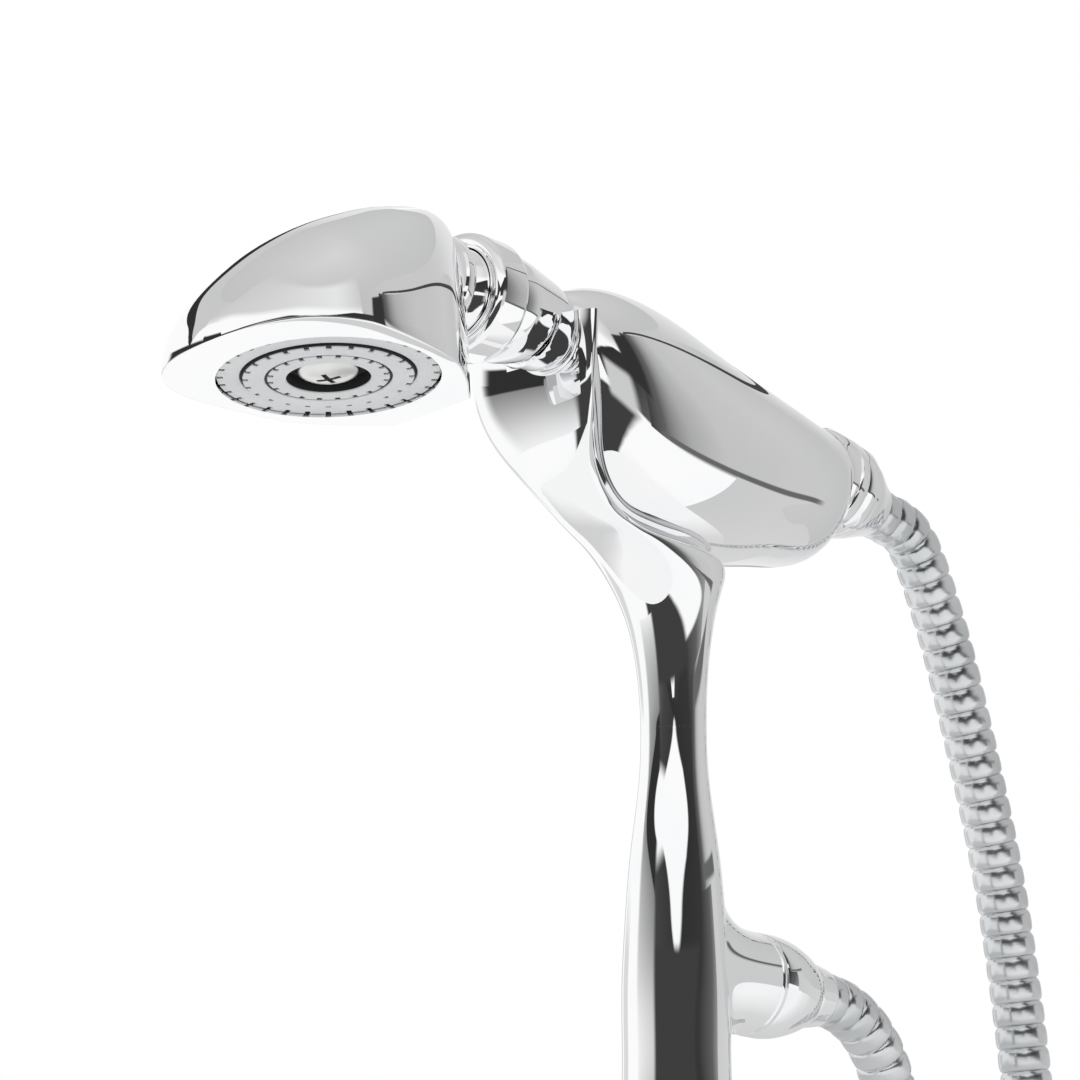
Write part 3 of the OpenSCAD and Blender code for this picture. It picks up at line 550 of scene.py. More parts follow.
def enter(piece: Piece, finish: Finish, body: Body, *nodes: str) -> None:
    """Dress a finished piece, let it ride on its body and stand for CAD nodes.

    Args:
        piece: finished mesh at the origin.
        finish: surface of the piece.
        body: CAD body that carries it.
        nodes: CAD nodes that it stands for.
    """
    finish.dress(piece)
    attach(piece, body.value)
    if nodes:
        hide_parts(*nodes)
    LOG.info("%s rides on %s, %d faces", piece.name, body.value, len(piece.data.polygons))


# Studio


Edge = tuple[Pair, Pair]


@dataclass(frozen=True)
class Panel:
    """Card or softbox that only reflections see, placed by angles as seen from a point of the object.

    An angle pair is degrees from the camera's direction, positive to the right, and degrees above the
    horizon.

    Attributes:
        name: object name.
        low: left and right end of the lower edge.
        high: left and right end of the upper edge.
        glows: pairs of share across the card and brightness.
        reach: distance from the centre in metres.
        centre: point that the angles are seen from, in millimetres.
        bow: extra height in the middle of the upper edge in degrees.
        low_bow: extra height in the middle of the lower edge in degrees.
        upright: grade from the lower to the upper edge, instead of from left to right.
        soft: share of the half width and of the half height over which the card fades out.
    """

    name: str
    low: Edge
    high: Edge
    glows: tuple[Pair, ...]
    reach: float = 1.5
    centre: Point = (0.0, -20.0, 240.0)
    bow: float = 0.0
    low_bow: float = 0.0
    upright: bool = False
    soft: Pair = (0.0, 0.0)

    def angles(self, across: float, rise: float) -> Pair:
        """Give the angle pair at a place of the card.

        Args:
            across: share from the left to the right.
            rise: share from the lower to the upper edge.

        Returns:
            Degrees aside and degrees above the horizon.
        """
        swell = 1 - abs(2 * across - 1) ** 3
        ends = []
        for (left, right), bow in ((self.low, self.low_bow), (self.high, self.bow)):
            aside = left[0] + (right[0] - left[0]) * across
            ends.append((aside, left[1] + (right[1] - left[1]) * across + bow * swell))
        (low_aside, low_up), (high_aside, high_up) = ends
        return low_aside + (high_aside - low_aside) * rise, low_up + (high_up - low_up) * rise


def even(glow: float) -> tuple[Pair, Pair]:
    """Give the stops of a card of one brightness."""
    return ((0.0, glow), (1.0, glow))


def span(left: float, right: float, low: float, high: float) -> tuple[Edge, Edge]:
    """Give the lower and the upper edge of a card with upright sides and level edges."""
    return ((left, low), (right, low)), ((left, high), (right, high))


# Width and height of a card's cells in degrees
CELL: Pair = (5.0, 8.0)
# Points of the mixer that the cards are seen from
HANDLE_MIDDLE: Point = (0.0, 10.0, 280.0)
HANDLE_FRONT: Point = (0.0, -30.0, 275.0)
OUTLET_END: Point = (0.0, 40.0, 140.0)
FORK_FRONT: Point = (0.0, -48.0, 275.0)
COLUMN_TOP: Point = (0.0, 0.0, 228.0)
TABLE_CENTRE: Point = (0.0, 0.0, 645.0)


@dataclass
class Studio:
    """Camera, plain pale floor, white surround and the cards that chrome reflects."""

    eye: Point = (626.8, -746.5, -29.2)
    right: Point = (0.743, 0.669, 0.0)
    up: Point = (0.184, -0.205, 0.961)
    back: Point = (0.643, -0.714, -0.276)
    lens: float = 133.33
    fill_light: float = 0.75
    floor_radius: float = 600.0
    # Which rays see the floor as white, the share near the part, and the radii in metres where it grows
    floor_fades: tuple[tuple[str, float, Pair], ...] = (
        ("Is Camera Ray", 0.72, (0.25, 0.57)),
        ("Is Glossy Ray", 0.0, (0.15, 0.4)),
    )
    lamp_size: float = 1.6
    lamp_power: float = 14.0
    lamp_place: Point = (-0.5, -0.7, 1.9)
    panels: tuple[Panel, ...] = (
        Panel("ceiling", *span(-180, 180, 45, 90), ((0.0, 0.56), (1.0, 0.68)), upright=True),
        Panel("front_pale", *span(-97, 60, 26, 64), ((0, 0.62), (0.8, 0.82), (1, 0.62)), 1.48, soft=(0, 0.5)),
        Panel("back_pale", *span(60, 180, 19, 46), ((0.0, 0.55), (0.5, 0.6), (1.0, 0.85))),
        Panel(
            "left_pale", ((-178, 22), (-97, 20)), ((-178, 46), (-97, 46)),
            ((0.0, 0.9), (0.2, 0.6), (1.0, 0.6)), low_bow=16,
        ),
        Panel(
            "rim_flag", ((-178, 19), (-97, 18)), ((-178, 24), (-97, 21)), even(0.03), 1.45,
            bow=16, low_bow=16,
        ),
        Panel(
            "left_flag", ((-72, -2), (44, -2)), ((-72, 18), (-36, 22.5)),
            ((0.0, 0.16), (0.45, 0.06), (1.0, 0.04)), soft=(0.12, 0.3),
        ),
        Panel(
            "right_flag", ((-42, -2), (112, -6)), ((48, 27), (112, 27)),
            ((0.0, 0.03), (0.5, 0.04), (0.75, 0.12), (1.0, 0.5)),
            1.46, soft=(0.12, 0.12),
        ),
        Panel(
            "flare_flag", ((-60, -40), (6, -40)), ((-60, 2), (58, 2)), even(0.05), 0.32, COLUMN_TOP,
            soft=(0.2, 0.1),
        ),
        Panel("low_drop", ((-24, -14), (24, -14)), ((-3, 6), (3, 6)), even(1.0), 1.4),
        Panel(
            "dark_board", ((42, 14), (68, 7)), ((42, 38), (68, 45)), even(0.035), 0.266, HANDLE_MIDDLE,
            soft=(0.4, 0.12),
        ),
        Panel(
            "ear_card", ((8, -12), (60, -12)), ((8, 14), (56, 17)), even(0.62), 0.1, HANDLE_FRONT,
            soft=(0.4, 0.4),
        ),
        Panel(
            "grey_board", ((60, -8), (108, -8)), ((60, 44), (108, 47)),
            ((0.0, 0.05), (0.22, 0.12), (0.42, 0.42), (0.6, 0.56), (1.0, 0.6)), 0.27, HANDLE_MIDDLE,
        ),
        Panel(
            "back_board", ((108, -16), (172, -16)), ((108, 47), (172, 26)),
            ((0.0, 0.6), (0.4, 0.56), (1.0, 0.85)), 0.27, HANDLE_MIDDLE, 5, -10,
        ),
        Panel(
            "board_edge", ((66, 44.2), (172, 24.3)), ((66, 45.6), (172, 25.6)), even(0.06),
            0.262, HANDLE_MIDDLE, 8, 8,
        ),
        Panel(
            "low_edge", ((66, -8), (112, -9)), ((66, -4.5), (112, -4.5)), even(0.14), 0.262, HANDLE_MIDDLE,
            soft=(0.2, 0.5),
        ),
        Panel("outlet_board", *span(88, 178, -28, 22), ((0.0, 0.62), (1.0, 0.7)), 0.31, OUTLET_END),
        Panel("right_strip", *span(156, 180, -5, 18), even(0.45), 1.52, soft=(0.3, 0.2)),
        Panel("back_strip", *span(-180, -160, -5, 18), even(0.6), 1.52, soft=(0.3, 0.2)),
        Panel("left_strip", *span(-152, -124, -22, 12), even(0.72), 1.52, soft=(0.3, 0.2)),
        Panel(
            "fork_flag", ((-110, 7), (-46, -6)), ((-110, 17), (-46, 6)), even(0.03), 0.26, FORK_FRONT,
            soft=(0.3, 0.2),
        ),
        Panel(
            "fork_grey", ((-102, -26), (-42, -40)), ((-112, 12), (-46, -2)),
            ((0.0, 0.9), (0.4, 0.6), (0.9, 0.25), (1.0, 0.1)), 0.262, FORK_FRONT,
            upright=True, soft=(0.35, 0.0),
        ),
        Panel(
            "table_card", *span(-180, 180, -90, -71),
            ((0.0, 0.62), (0.12, 0.66), (0.22, 0.95), (0.78, 0.95), (0.85, 0.7), (1.0, 0.62)),
            0.55, TABLE_CENTRE,
        ),
    )

    def make_camera(self) -> None:
        """Put the camera where the photograph was taken from."""
        data = bpy.data.cameras.new("camera")
        data.lens = self.lens
        data.sensor_width = 36.0
        data.clip_start = 0.01
        camera = bpy.data.objects.new("camera", data)
        bpy.context.scene.collection.objects.link(camera)
        turn = Matrix((self.right, self.up, self.back)).transposed().to_4x4()
        camera.matrix_world = Matrix.Translation(Vector(self.eye) * MM) @ turn
        bpy.context.scene.camera = camera

    def make_world(self) -> None:
        """Surround the object with white for the eye and for reflections, and plain light for the rest."""
        scene = bpy.context.scene
        scene.view_settings.view_transform = "Standard"
        world = bpy.data.worlds.new("white_surround")
        scene.world = world
        world.use_nodes = True
        tree = world.node_tree
        tree.nodes.clear()
        path = add_node(tree, "ShaderNodeLightPath").outputs
        seen = calc(tree, "MAXIMUM", path["Is Camera Ray"], path["Is Glossy Ray"])
        seen = calc(tree, "MAXIMUM", seen, path["Is Transmission Ray"])
        strength = spread(tree, seen, (0.0, 1.0), (self.fill_light, 1.0))
        sky = add_node(tree, "ShaderNodeBackground", {"Color": (1, 1, 1, 1), "Strength": strength})
        add_node(tree, "ShaderNodeOutputWorld", {"Surface": sky.outputs[0]})

    def make_floor(self) -> None:
        """Lay the pale floor that the deck flanges and the stored hose rest on, fading into the surround."""
        deselect()
        bpy.ops.mesh.primitive_circle_add(vertices=160, radius=self.floor_radius * MM, fill_type="NGON")
        floor = bpy.context.object
        floor.name = "floor"
        floor.location.z = -0.0002
        made, tree = blank_material("pale_floor")
        path = add_node(tree, "ShaderNodeLightPath").outputs
        place = add_node(tree, "ShaderNodeTexCoord").outputs["Object"]
        far = add_node(tree, "ShaderNodeVectorMath", {0: place}, operation="LENGTH").outputs["Value"]
        shares = []
        for ray, near, radii in self.floor_fades:
            shares.append(calc(tree, "MULTIPLY", path[ray], spread(tree, far, radii, (near, 1.0))))
        share = calc(tree, "MAXIMUM", *shares)
        matt = add_node(tree, "ShaderNodeBsdfPrincipled", {"Base Color": linear("f6f6f6"), "Roughness": 0.7})
        white = add_node(tree, "ShaderNodeEmission", {"Color": (1, 1, 1, 1), "Strength": 1.0})
        mixed = add_node(tree, "ShaderNodeMixShader", {0: share, 1: matt.outputs[0], 2: white.outputs[0]})
        add_node(tree, "ShaderNodeOutputMaterial", {"Surface": mixed.outputs[0]})
        floor.data.materials.append(made)

    def make_panels(self) -> None:
        """Stand the cards round the object, seen by reflections only."""
        ahead = Vector((self.back[0], self.back[1], 0)).normalized()
        aside = Vector(self.right).normalized()
        for panel in self.panels:
            columns = max(12, round((panel.low[1][0] - panel.low[0][0]) / CELL[0]))
            rows = max(2, round((panel.high[0][1] - panel.low[0][1]) / CELL[1]))
            deselect()
            bpy.ops.mesh.primitive_grid_add(x_subdivisions=columns, y_subdivisions=rows, size=1)
            card = bpy.context.object
            card.name = panel.name
            corners = []
            for j in range(rows + 1):
                for k in range(columns + 1):
                    turn, rise = [math.radians(v) for v in panel.angles(k / columns, j / rows)]
                    flat = ahead * math.cos(turn) + aside * math.sin(turn)
                    way = flat * math.cos(rise) + Vector((0, 0, math.sin(rise)))
                    corners.append(Vector(panel.centre) * MM + panel.reach * way)
            card.data.vertices.foreach_set("co", np.array(corners, np.float32).reshape(-1))
            card.data.update()
            card.data.materials.append(self.panel_material(panel))
            for rays in ("camera", "diffuse", "shadow", "volume_scatter"):
                setattr(card, "visible_" + rays, False)

    @staticmethod
    def panel_material(panel: Panel) -> bpy.types.Material:
        """Make a card's even or graded glow.

        Args:
            panel: card that gets it.

        Returns:
            An emission material that grades across the card or up it and shows only from the object's side.
        """
        made, tree = blank_material(panel.name)
        grid = add_node(tree, "ShaderNodeTexCoord").outputs["UV"]
        places = add_node(tree, "ShaderNodeSeparateXYZ", {0: grid}).outputs
        stops = [(place, (glow, glow, glow, 1.0)) for place, glow in panel.glows]
        glow = ramp(tree, places["Y" if panel.upright else "X"], stops)
        shader = add_node(tree, "ShaderNodeEmission", {"Color": glow})
        clear = add_node(tree, "ShaderNodeBsdfTransparent")
        cover = add_node(tree, "ShaderNodeNewGeometry").outputs["Backfacing"]
        for axis, soft in zip("XY", panel.soft):
            if soft:
                off = calc(tree, "ABSOLUTE", calc(tree, "MULTIPLY_ADD", places[axis], 2.0, -1.0))
                fade = spread(tree, off, (1.0 - soft, 1.0), (1.0, 0.0), interpolation_type="SMOOTHSTEP")
                cover = calc(tree, "MULTIPLY", cover, fade)
        side = add_node(tree, "ShaderNodeMixShader", {0: cover, 1: clear.outputs[0], 2: shader.outputs[0]})
        add_node(tree, "ShaderNodeOutputMaterial", {"Surface": side.outputs[0]})
        return made

    def make_lamp(self) -> None:
        """Hang one wide soft lamp above the front for the matt pieces and the floor's shadow."""
        data = bpy.data.lights.new("top_softbox", "AREA")
        data.size = self.lamp_size
        data.energy = self.lamp_power
        lamp = bpy.data.objects.new("top_softbox", data)
        bpy.context.scene.collection.objects.link(lamp)
        lamp.location = self.lamp_place
        lamp.rotation_euler = (Vector((0, 0, 0.1)) - lamp.location).to_track_quat("-Z", "Y").to_euler()
        lamp.visible_glossy = False


# Hose


@dataclass
class RibbedHose:
    """Free hose from the column's outlet over the deck to the handset, one tube of fixed length."""

    radius: float = 7.0
    groove: float = 0.85
    pitch: float = 6.2
    tail_start: Point = (0.0, 59.5, 280.3)
    tail_drop: float = 9.0
    tail_reach: float = 24.0
    outlet_y: float = 55.5
    outlet_z: float = 140.5
    coil_mid: Pair = (64.0, 150.0)
    coil_z: float = 7.0
    coil_in: float = 64.0
    coil_step: float = 15.5
    coil_from: float = 236.0
    coil_to: float = 900.0
    drop_knots: tuple[Point, ...] = (
        (0, 108, 262), (0, 116, 246), (0, 123, 228), (0, 130, 208), (0, 137.5, 183), (0, 143, 157),
        (0, 147, 132), (0, 149.5, 108), (0, 150, 86), (0.4, 148, 66), (2, 142, 47), (6, 131.5, 30),
        (12.5, 118, 17), (22, 104, 9.5),
    )
    rise_knots: tuple[Point, ...] = (
        (-31, 139, 7.5), (-30.5, 128, 10.5), (-29, 118, 17), (-26.5, 110, 27.5), (-23, 104, 41),
        (-18.5, 100, 57), (-13.5, 97.5, 74), (-8.5, 95.5, 91), (-4, 92.5, 107), (-1, 86.5, 122),
        (0, 77, 133.5),
    )
    sides: int = 20
    # Share of a rib's pitch and share of its height
    rib_shape: tuple[Pair, ...] = (
        (0.0, 0.0), (0.1, 0.55), (0.22, 0.9), (0.42, 1.0),
        (0.66, 1.0), (0.84, 0.86), (0.94, 0.5),
    )

    def coil_point(self, angle: float) -> Point:
        """Give the spiral's centre line at an angle in degrees."""
        radius = self.coil_in + self.coil_step * (angle - 180) / 360
        turn = math.radians(angle)
        x, y = self.coil_mid
        return x + radius * math.cos(turn), y + radius * math.sin(turn), self.coil_z

    def route(self) -> np.ndarray:
        """Give the whole centre line in millimetres, from the handset to the column's outlet."""
        drop = math.radians(self.tail_drop)
        heading = np.array([0.0, math.cos(drop), -math.sin(drop)])
        start = np.array(self.tail_start) + self.tail_reach * heading
        first = [tuple(start), tuple(start + 7 * heading), tuple(start + 14 * heading)]
        turns = 42
        span = self.coil_to - self.coil_from
        coil = [self.coil_point(self.coil_from + span * k / turns) for k in range(turns + 1)]
        last = [(0, self.outlet_y + 10, 139.3), (0, self.outlet_y, self.outlet_z)]
        return np.array([*first, *self.drop_knots, *coil, *self.rise_knots, *last], float)

    def centre_line(self) -> np.ndarray:
        """Give a fine even run of points along the route."""
        fine = natural_curve(self.route(), 6000)
        fine[:, 2] = np.maximum(fine[:, 2], self.coil_z)
        return resample(fine, fine, np.linspace(0, run_lengths(fine)[-1], 3000))

    def build(self) -> None:
        line = self.centre_line()
        total = float(run_lengths(line)[-1])
        ribs = round(total / self.pitch)
        places = [(i + share) * total / ribs for i in range(ribs) for share, _ in self.rib_shape] + [total]
        heights = [height for _ in range(ribs) for _, height in self.rib_shape] + [0.0]
        centres = resample(line, line, places)
        heads = resample(line, np.gradient(line, axis=0), places)
        heads /= np.linalg.norm(heads, axis=1)[:, None]
        side = np.array([1.0, 0.0, 0.0])
        turns = circle_turns(self.sides)
        rings = []
        for centre, head, height in zip(centres, heads, heights):
            side = side - head * (side @ head)
            side /= np.linalg.norm(side)
            over = np.cross(head, side)
            radius = self.radius - self.groove * (1 - height)
            rings.append([centre + radius * (side * math.cos(t) + over * math.sin(t)) for t in turns])
        hose = lofted("ribbed_hose", rings, 50)
        HOSE_STEEL.dress(hose)
        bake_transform(hose)
        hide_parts("hose_drop", "hose_coil", "hose_rise")
        LOG.info("hose of %.1f mm with %d ribs", total, ribs)


# Handset


@dataclass
class SprayHead:
    """Swivelling spray head: arched shell, flat face with the spray plate, and its screw."""

    face_z: float = 262.6
    back_y: float = -89.5
    length: float = 72.0
    disc_y: float = -124.4
    plate_radius: float = 26.0
    plate_inset: float = 0.7
    corner: float = 0.5
    slots: int = 32
    slot_half: float = 0.65
    # Share of the plate's radius at a circle of slots, and its share of the number of slots
    slot_circles: tuple[Pair, ...] = ((1.0, 1.0), (0.78, 0.75), (0.56, 0.62))
    recess_share: float = 0.38
    ring_gap: float = 0.34
    ring_thick: float = 0.35
    ring_proud: float = 0.8
    ring_edge: float = 0.15
    screw_radius: float = 7.4
    cross_reach: float = 3.0
    cross_half: float = 0.62
    cross_turn: float = 0.35
    spin: float = 3.5
    spin_z: float = 280.0
    stations: tuple[tuple[float, float, float, float], ...] = (
        (0.0, 3, 3.5, 2.0),
        (0.012, 11, 7, 2.0),
        (0.045, 18.5, 12, 2.0),
        (0.09, 23.8, 17, 2.1),
        (0.17, 28.4, 23.4, 2.1),
        (0.27, 30.9, 29.6, 2.2),
        (0.39, 31, 35.4, 2.2),
        (0.52, 30, 40.2, 2.3),
        (0.64, 28.6, 43.8, 2.5),
        (0.73, 26.6, 45.6, 2.7),
        (0.82, 22.8, 47.2, 3.0),
        (0.9, 18.6, 47.2, 3.4),
        (0.96, 14.8, 45.8, 3.8),
        (1.0, 12.5, 43.8, 4.0),
    )

    def outline(self, share: float, half: float, height: float, square: float) -> list[Point]:
        """Give the closed outline of the shell at one station.

        Args:
            share: place along the length, from the tip.
            half: half width.
            height: height over the face.
            square: squareness of the arch, 2 for an ellipse.

        Returns:
            Points in millimetres: the arch, the small lower corners and the flat face.
        """
        y = self.back_y - self.length * (1 - share)
        corner = min(self.corner, 0.3 * half, 0.3 * height)
        base = self.face_z + corner
        points = []
        for k in range(61):
            turn = math.pi * k / 60
            x = half * signed_power(math.cos(turn), 2 / square)
            points.append((x, y, base + (height - corner) * signed_power(math.sin(turn), 2 / square)))
        for k in range(1, 5):
            turn = math.pi / 2 * k / 4
            points.append((-half + corner * (1 - math.cos(turn)), y, base - corner * math.sin(turn)))
        for k in range(1, 16):
            share_across = k / 16
            points.append(((corner - half) * (1 - 2 * share_across), y, self.face_z))
        for k in range(0, 4):
            turn = math.pi / 2 * (1 - k / 4)
            points.append((half - corner * (1 - math.cos(turn)), y, base - corner * math.sin(turn)))
        return points

    def turn_in(self, piece: Piece) -> None:
        """Spin a piece of the head by the few degrees that it is turned round the neck in the photograph."""
        pivot = Vector((0, 0, self.spin_z)) * MM
        turn = Matrix.Rotation(-math.radians(self.spin), 4, "Y")
        settle(piece, Matrix.Translation(pivot) @ turn @ Matrix.Translation(-pivot))

    def build_shell(self) -> None:
        """Loft the shell and sink the seat of the spray plate in its face."""
        scaled = [(share * self.length, *shape) for share, *shape in self.stations]
        rows = natural_curve(scaled, 72)
        rings = [self.outline(row[0] / self.length, *row[1:]) for row in rows]
        shell = lofted("head_shell_skin", rings, 40)
        seat = along((0, self.disc_y, self.face_z - 4), (0, 0, 1))
        cut(shell, drum(self.plate_radius + 0.25, 4 + self.plate_inset + 6.0, seat, 160))
        shade(shell, 40)
        self.turn_in(shell)
        enter(shell, SHELL_CHROME, Body.HEAD, "head_shell")

    def build_plate(self) -> None:
        """Turn the spray plate as rings with real gaps, cut the water slots and lay a dark rubber liner
        behind, which paints the shade seen through the slots and the gaps.
        """
        middle = along((0, self.disc_y, self.face_z + self.plate_inset), (0, 0, 1))
        radius, gap, edge = self.plate_radius, self.ring_gap, self.ring_edge
        thick, proud, half = self.ring_thick, self.ring_proud, self.slot_half
        recess = self.recess_share * radius
        outer_groove, inner_groove = [share * radius for share, _ in self.slot_circles[1:]]
        bounds = [recess - gap, inner_groove, outer_groove, radius + gap - 0.05]
        rings = []
        for inner, outer in zip(bounds, bounds[1:]):
            low, high = inner + gap, outer - gap
            top = 0.0 if outer > radius else -proud
            foot = top + thick
            section = [(low, foot), (low, top + edge), (low + edge, top), (high - edge, top)]
            section += [(high, top + edge), (high, foot), (low, foot)]
            ring = turned("spray_plate_face", section, middle, 160)
            open_middle(ring)
            rings.append(ring)
        plate = self.joined(rings)
        tools = []
        for share, count in self.slot_circles:
            end = share * radius
            for turn in circle_turns(round(self.slots * count)):
                tool = block((end - 1.6, -half, -2.0), (end + 0.2, half, 2.0))
                settle(tool, middle @ Matrix.Rotation(turn, 4, "Z"))
                tools.append(tool)
        cut(plate, self.joined(tools))
        plate.name = "spray_plate_face"
        shade(plate, 30)
        self.turn_in(plate)
        enter(plate, SPRAY_GREY, Body.HEAD, "spray_plate")
        # The liner stands for the gasket and is a dark disc behind the whole plate: painted shade for the
        # slots and the gaps between the rings
        rim = radius - 0.1
        step = thick - proud + 0.02
        profile = [(recess - 0.5, 2.9), (recess, 2.6), (recess, step), (outer_groove - 0.1, step)]
        profile += [(outer_groove - 0.1, thick + 0.02), (rim, thick + 0.02), (rim, 4.2)]
        gasket_shade_liner = turned("spray_gasket_shade_liner", profile, middle, 96)
        self.turn_in(gasket_shade_liner)
        enter(gasket_shade_liner, RUBBER, Body.HEAD, "spray_gasket")

    @staticmethod
    def joined(parts: Sequence[Piece]) -> Piece:
        """Join meshes into the first one and give it back."""
        deselect()
        for part in parts:
            part.select_set(True)
        bpy.context.view_layer.objects.active = parts[0]
        bpy.ops.object.join()
        return parts[0]

    def build_screw(self) -> None:
        """Turn the domed screw and cut its cross slot."""
        dome = [(self.screw_radius, 2.6)]
        for turn in np.linspace(0.0, 1.45, 14):
            dome.append((self.screw_radius * math.cos(turn), 1.4 - 2.5 * math.sin(turn)))
        middle = along((0, self.disc_y, self.face_z + self.plate_inset), (0, 0, 1))
        screw = turned("spray_screw_dome", dome, middle, 64)
        reach, half = self.cross_reach, self.cross_half
        for turn in (self.cross_turn, self.cross_turn + math.pi / 2):
            tool = block((-reach, -half, -2.0), (reach, half, 1.9))
            settle(tool, middle @ Matrix.Rotation(turn, 4, "Z"))
            cut(screw, tool)
        shade(screw, 35)
        self.turn_in(screw)
        enter(screw, NICKEL, Body.HEAD, "spray_screw")


@dataclass
class SwivelNeck:
    """Ball, ball nut and neck between the spray head and the handle, turned on one axis."""

    axis_z: float = 295.3
    ball_y: float = -76.5
    ball_radius: float = 12.0
    head_back: float = -89.5
    nut_front: float = -81.0
    nut_radius: float = 15.5
    neck_front: float = -77.5
    collar_front: float = -70.0
    neck_back: float = -47.0
    neck_radius: float = 13.5

    def lathe(self) -> Matrix:
        """Give the matrix of the neck axis, with heights as Y."""
        return along((0, 0, self.axis_z), (0, 1, 0))

    def build_ball(self) -> None:
        """Turn the ball with its lip ring."""
        back, radius = self.head_back, self.ball_radius
        profile = stepped(radius, back, (-3, -0.4), (0.1, -0.1), (0.6, 0.5), (0.6, 2.6), (0.2, 3.3))
        profile += stepped(radius, back, (-0.8, 3.6), (-2.9, 3.7), (-3.5, 4.3))
        reach = math.acos((radius - 3.5) / radius)
        for turn in np.linspace(-reach, math.radians(48), 40):
            profile.append((radius * math.cos(turn), self.ball_y + radius * math.sin(turn)))
        ball = turned("swivel_ball_ring", profile, self.lathe())
        enter(ball, CHROME, Body.HEAD, "swivel_ball")

    def build_nut(self) -> None:
        """Turn the ball nut as a rounded ring over the ball."""
        front, end, radius = self.nut_front, self.collar_front - 0.2, self.nut_radius
        bore = self.neck_radius - 0.4
        ring: list[Pair] = [(bore, end), (bore, self.neck_front - 0.1)]
        clear = self.ball_radius + 0.3
        for height in np.linspace(self.neck_front - 0.1, front + 0.4, 8):
            ring.append((math.sqrt(clear**2 - (self.ball_y - float(height)) ** 2), float(height)))
        ring += [(ring[-1][0] + 0.6, front + 0.05), (radius - 2.4, front)]
        for turn in np.linspace(math.radians(80), 0, 12):
            ring.append((radius - 2.3 + 2.3 * math.cos(turn), front + 2.3 - 2.3 * math.sin(turn)))
        for turn in np.linspace(0, math.radians(85), 10):
            ring.append((radius - 1.6 + 1.6 * math.cos(turn), end - 1.6 + 1.6 * math.sin(turn)))
        ring.append((bore, end))
        nut = turned("ball_nut_ring", ring, self.lathe())
        open_middle(nut)
        enter(nut, CHROME, Body.HANDSET, "ball_nut")

    def build_neck(self) -> None:
        """Turn the neck: collar, waist and its seat on the handle."""
        radius, collar, front = self.neck_radius, self.collar_front, self.neck_front
        socket = radius - 0.78
        profile = [(socket, self.ball_y + self.ball_radius + 3), (socket, front + 0.2)]
        profile += [(socket + 0.05, front), (12.95, front), (13.0, front + 0.1), (13.0, collar - 0.05)]
        profile += stepped(radius, collar, (-0.35, 0), (-0.05, 0.35))
        flow = stepped(radius, collar, (0, 1), (0, 5), (-0.8, 9.5)) + [(11.6, -55.5), (10.5, -51)]
        flow += [(9.2, self.neck_back), (8.8, self.neck_back + 2.0)]
        profile += smooth_profile(flow, 48)
        neck = turned("neck_collar", profile, self.lathe())
        enter(neck, CHROME, Body.HANDSET, "neck")


@dataclass
class Handle:
    """Fat rounded handle of the handset, with its tail collar and the hose nut."""

    stations: tuple[tuple[float, float, float, float], ...] = (
        (-47, 285, 304, 9.5),
        (-45, 277.5, 305, 12.5),
        (-42, 269, 306.2, 15),
        (-37, 260, 307.8, 17.3),
        (-30, 252.8, 309, 19),
        (-20, 248.2, 309, 20),
        (-8, 246.2, 307, 20.5),
        (6, 246.2, 303.2, 20.5),
        (20, 247.8, 299.8, 20),
        (34, 250.6, 296.7, 19),
        (44, 252.5, 294.6, 18),
        (51, 254.9, 293.4, 16.6),
        (55.5, 258.4, 293.2, 15),
        (58, 262.6, 293.3, 13.8),
        (59.5, 267, 293.5, 13.2),
    )
    tail_start: Point = (0.0, 59.5, 280.3)
    tail_drop: float = 9.0
    collar_radius: float = 13.5
    collar_length: float = 7.0
    nut_length: float = 17.0
    hose_radius: float = 7.0

    def build_body(self) -> None:
        """Loft the handle body through its stations."""
        turns = circle_turns(96)
        rings = []
        for y, low, high, half in natural_curve(self.stations, 80):
            middle, tall = (low + high) / 2, (high - low) / 2
            rings.append([(half * math.cos(t), y, middle + tall * math.sin(t)) for t in turns])
        handle = lofted("handle_body_skin", rings, 40)
        enter(handle, SHELL_CHROME, Body.HANDSET, "handle_body")

    def tail(self) -> Matrix:
        """Give the matrix of the tail axis, pointing along the hose."""
        drop = math.radians(self.tail_drop)
        return along(self.tail_start, (0, math.cos(drop), -math.sin(drop)))

    def build_tail(self) -> None:
        """Turn the tail collar and the cone nut of the hose."""
        radius, length = self.collar_radius, self.collar_length
        profile = stepped(radius, 0, (-0.6, -3), (-0.1, -2.2), (0, 2.6), (-0.25, 2.95), (-0.7, 3.25))
        profile += stepped(radius, 0, (-0.25, 3.55), (0, 3.9))
        profile += stepped(radius, length, (0, -0.8), (-0.2, -0.25), (-0.7, 0))
        collar = turned("tail_collar_ring", profile, self.tail())
        enter(collar, CHROME, Body.HANDSET, "tail_collar")
        end = length + self.nut_length
        rim = stepped(radius, length, (-1.4, 0), (-0.6, 0.3), (-0.2, 1), (-0.2, 4), (-0.5, 4.6), (-1.2, 5.2))
        cone = stepped(radius, length, (-1.2, 6.4), (-2.2, 9), (-4.2, 13))
        cone = smooth_profile([*cone, (self.hose_radius + 0.9, end - 0.6)], 16)
        nut = turned("hose_cone_nut_skin", [*rim, *cone, (self.hose_radius + 0.4, end)], self.tail())
        enter(nut, CHROME, Body.HANDSET, "hose_cone_nut")


# Column and cradle


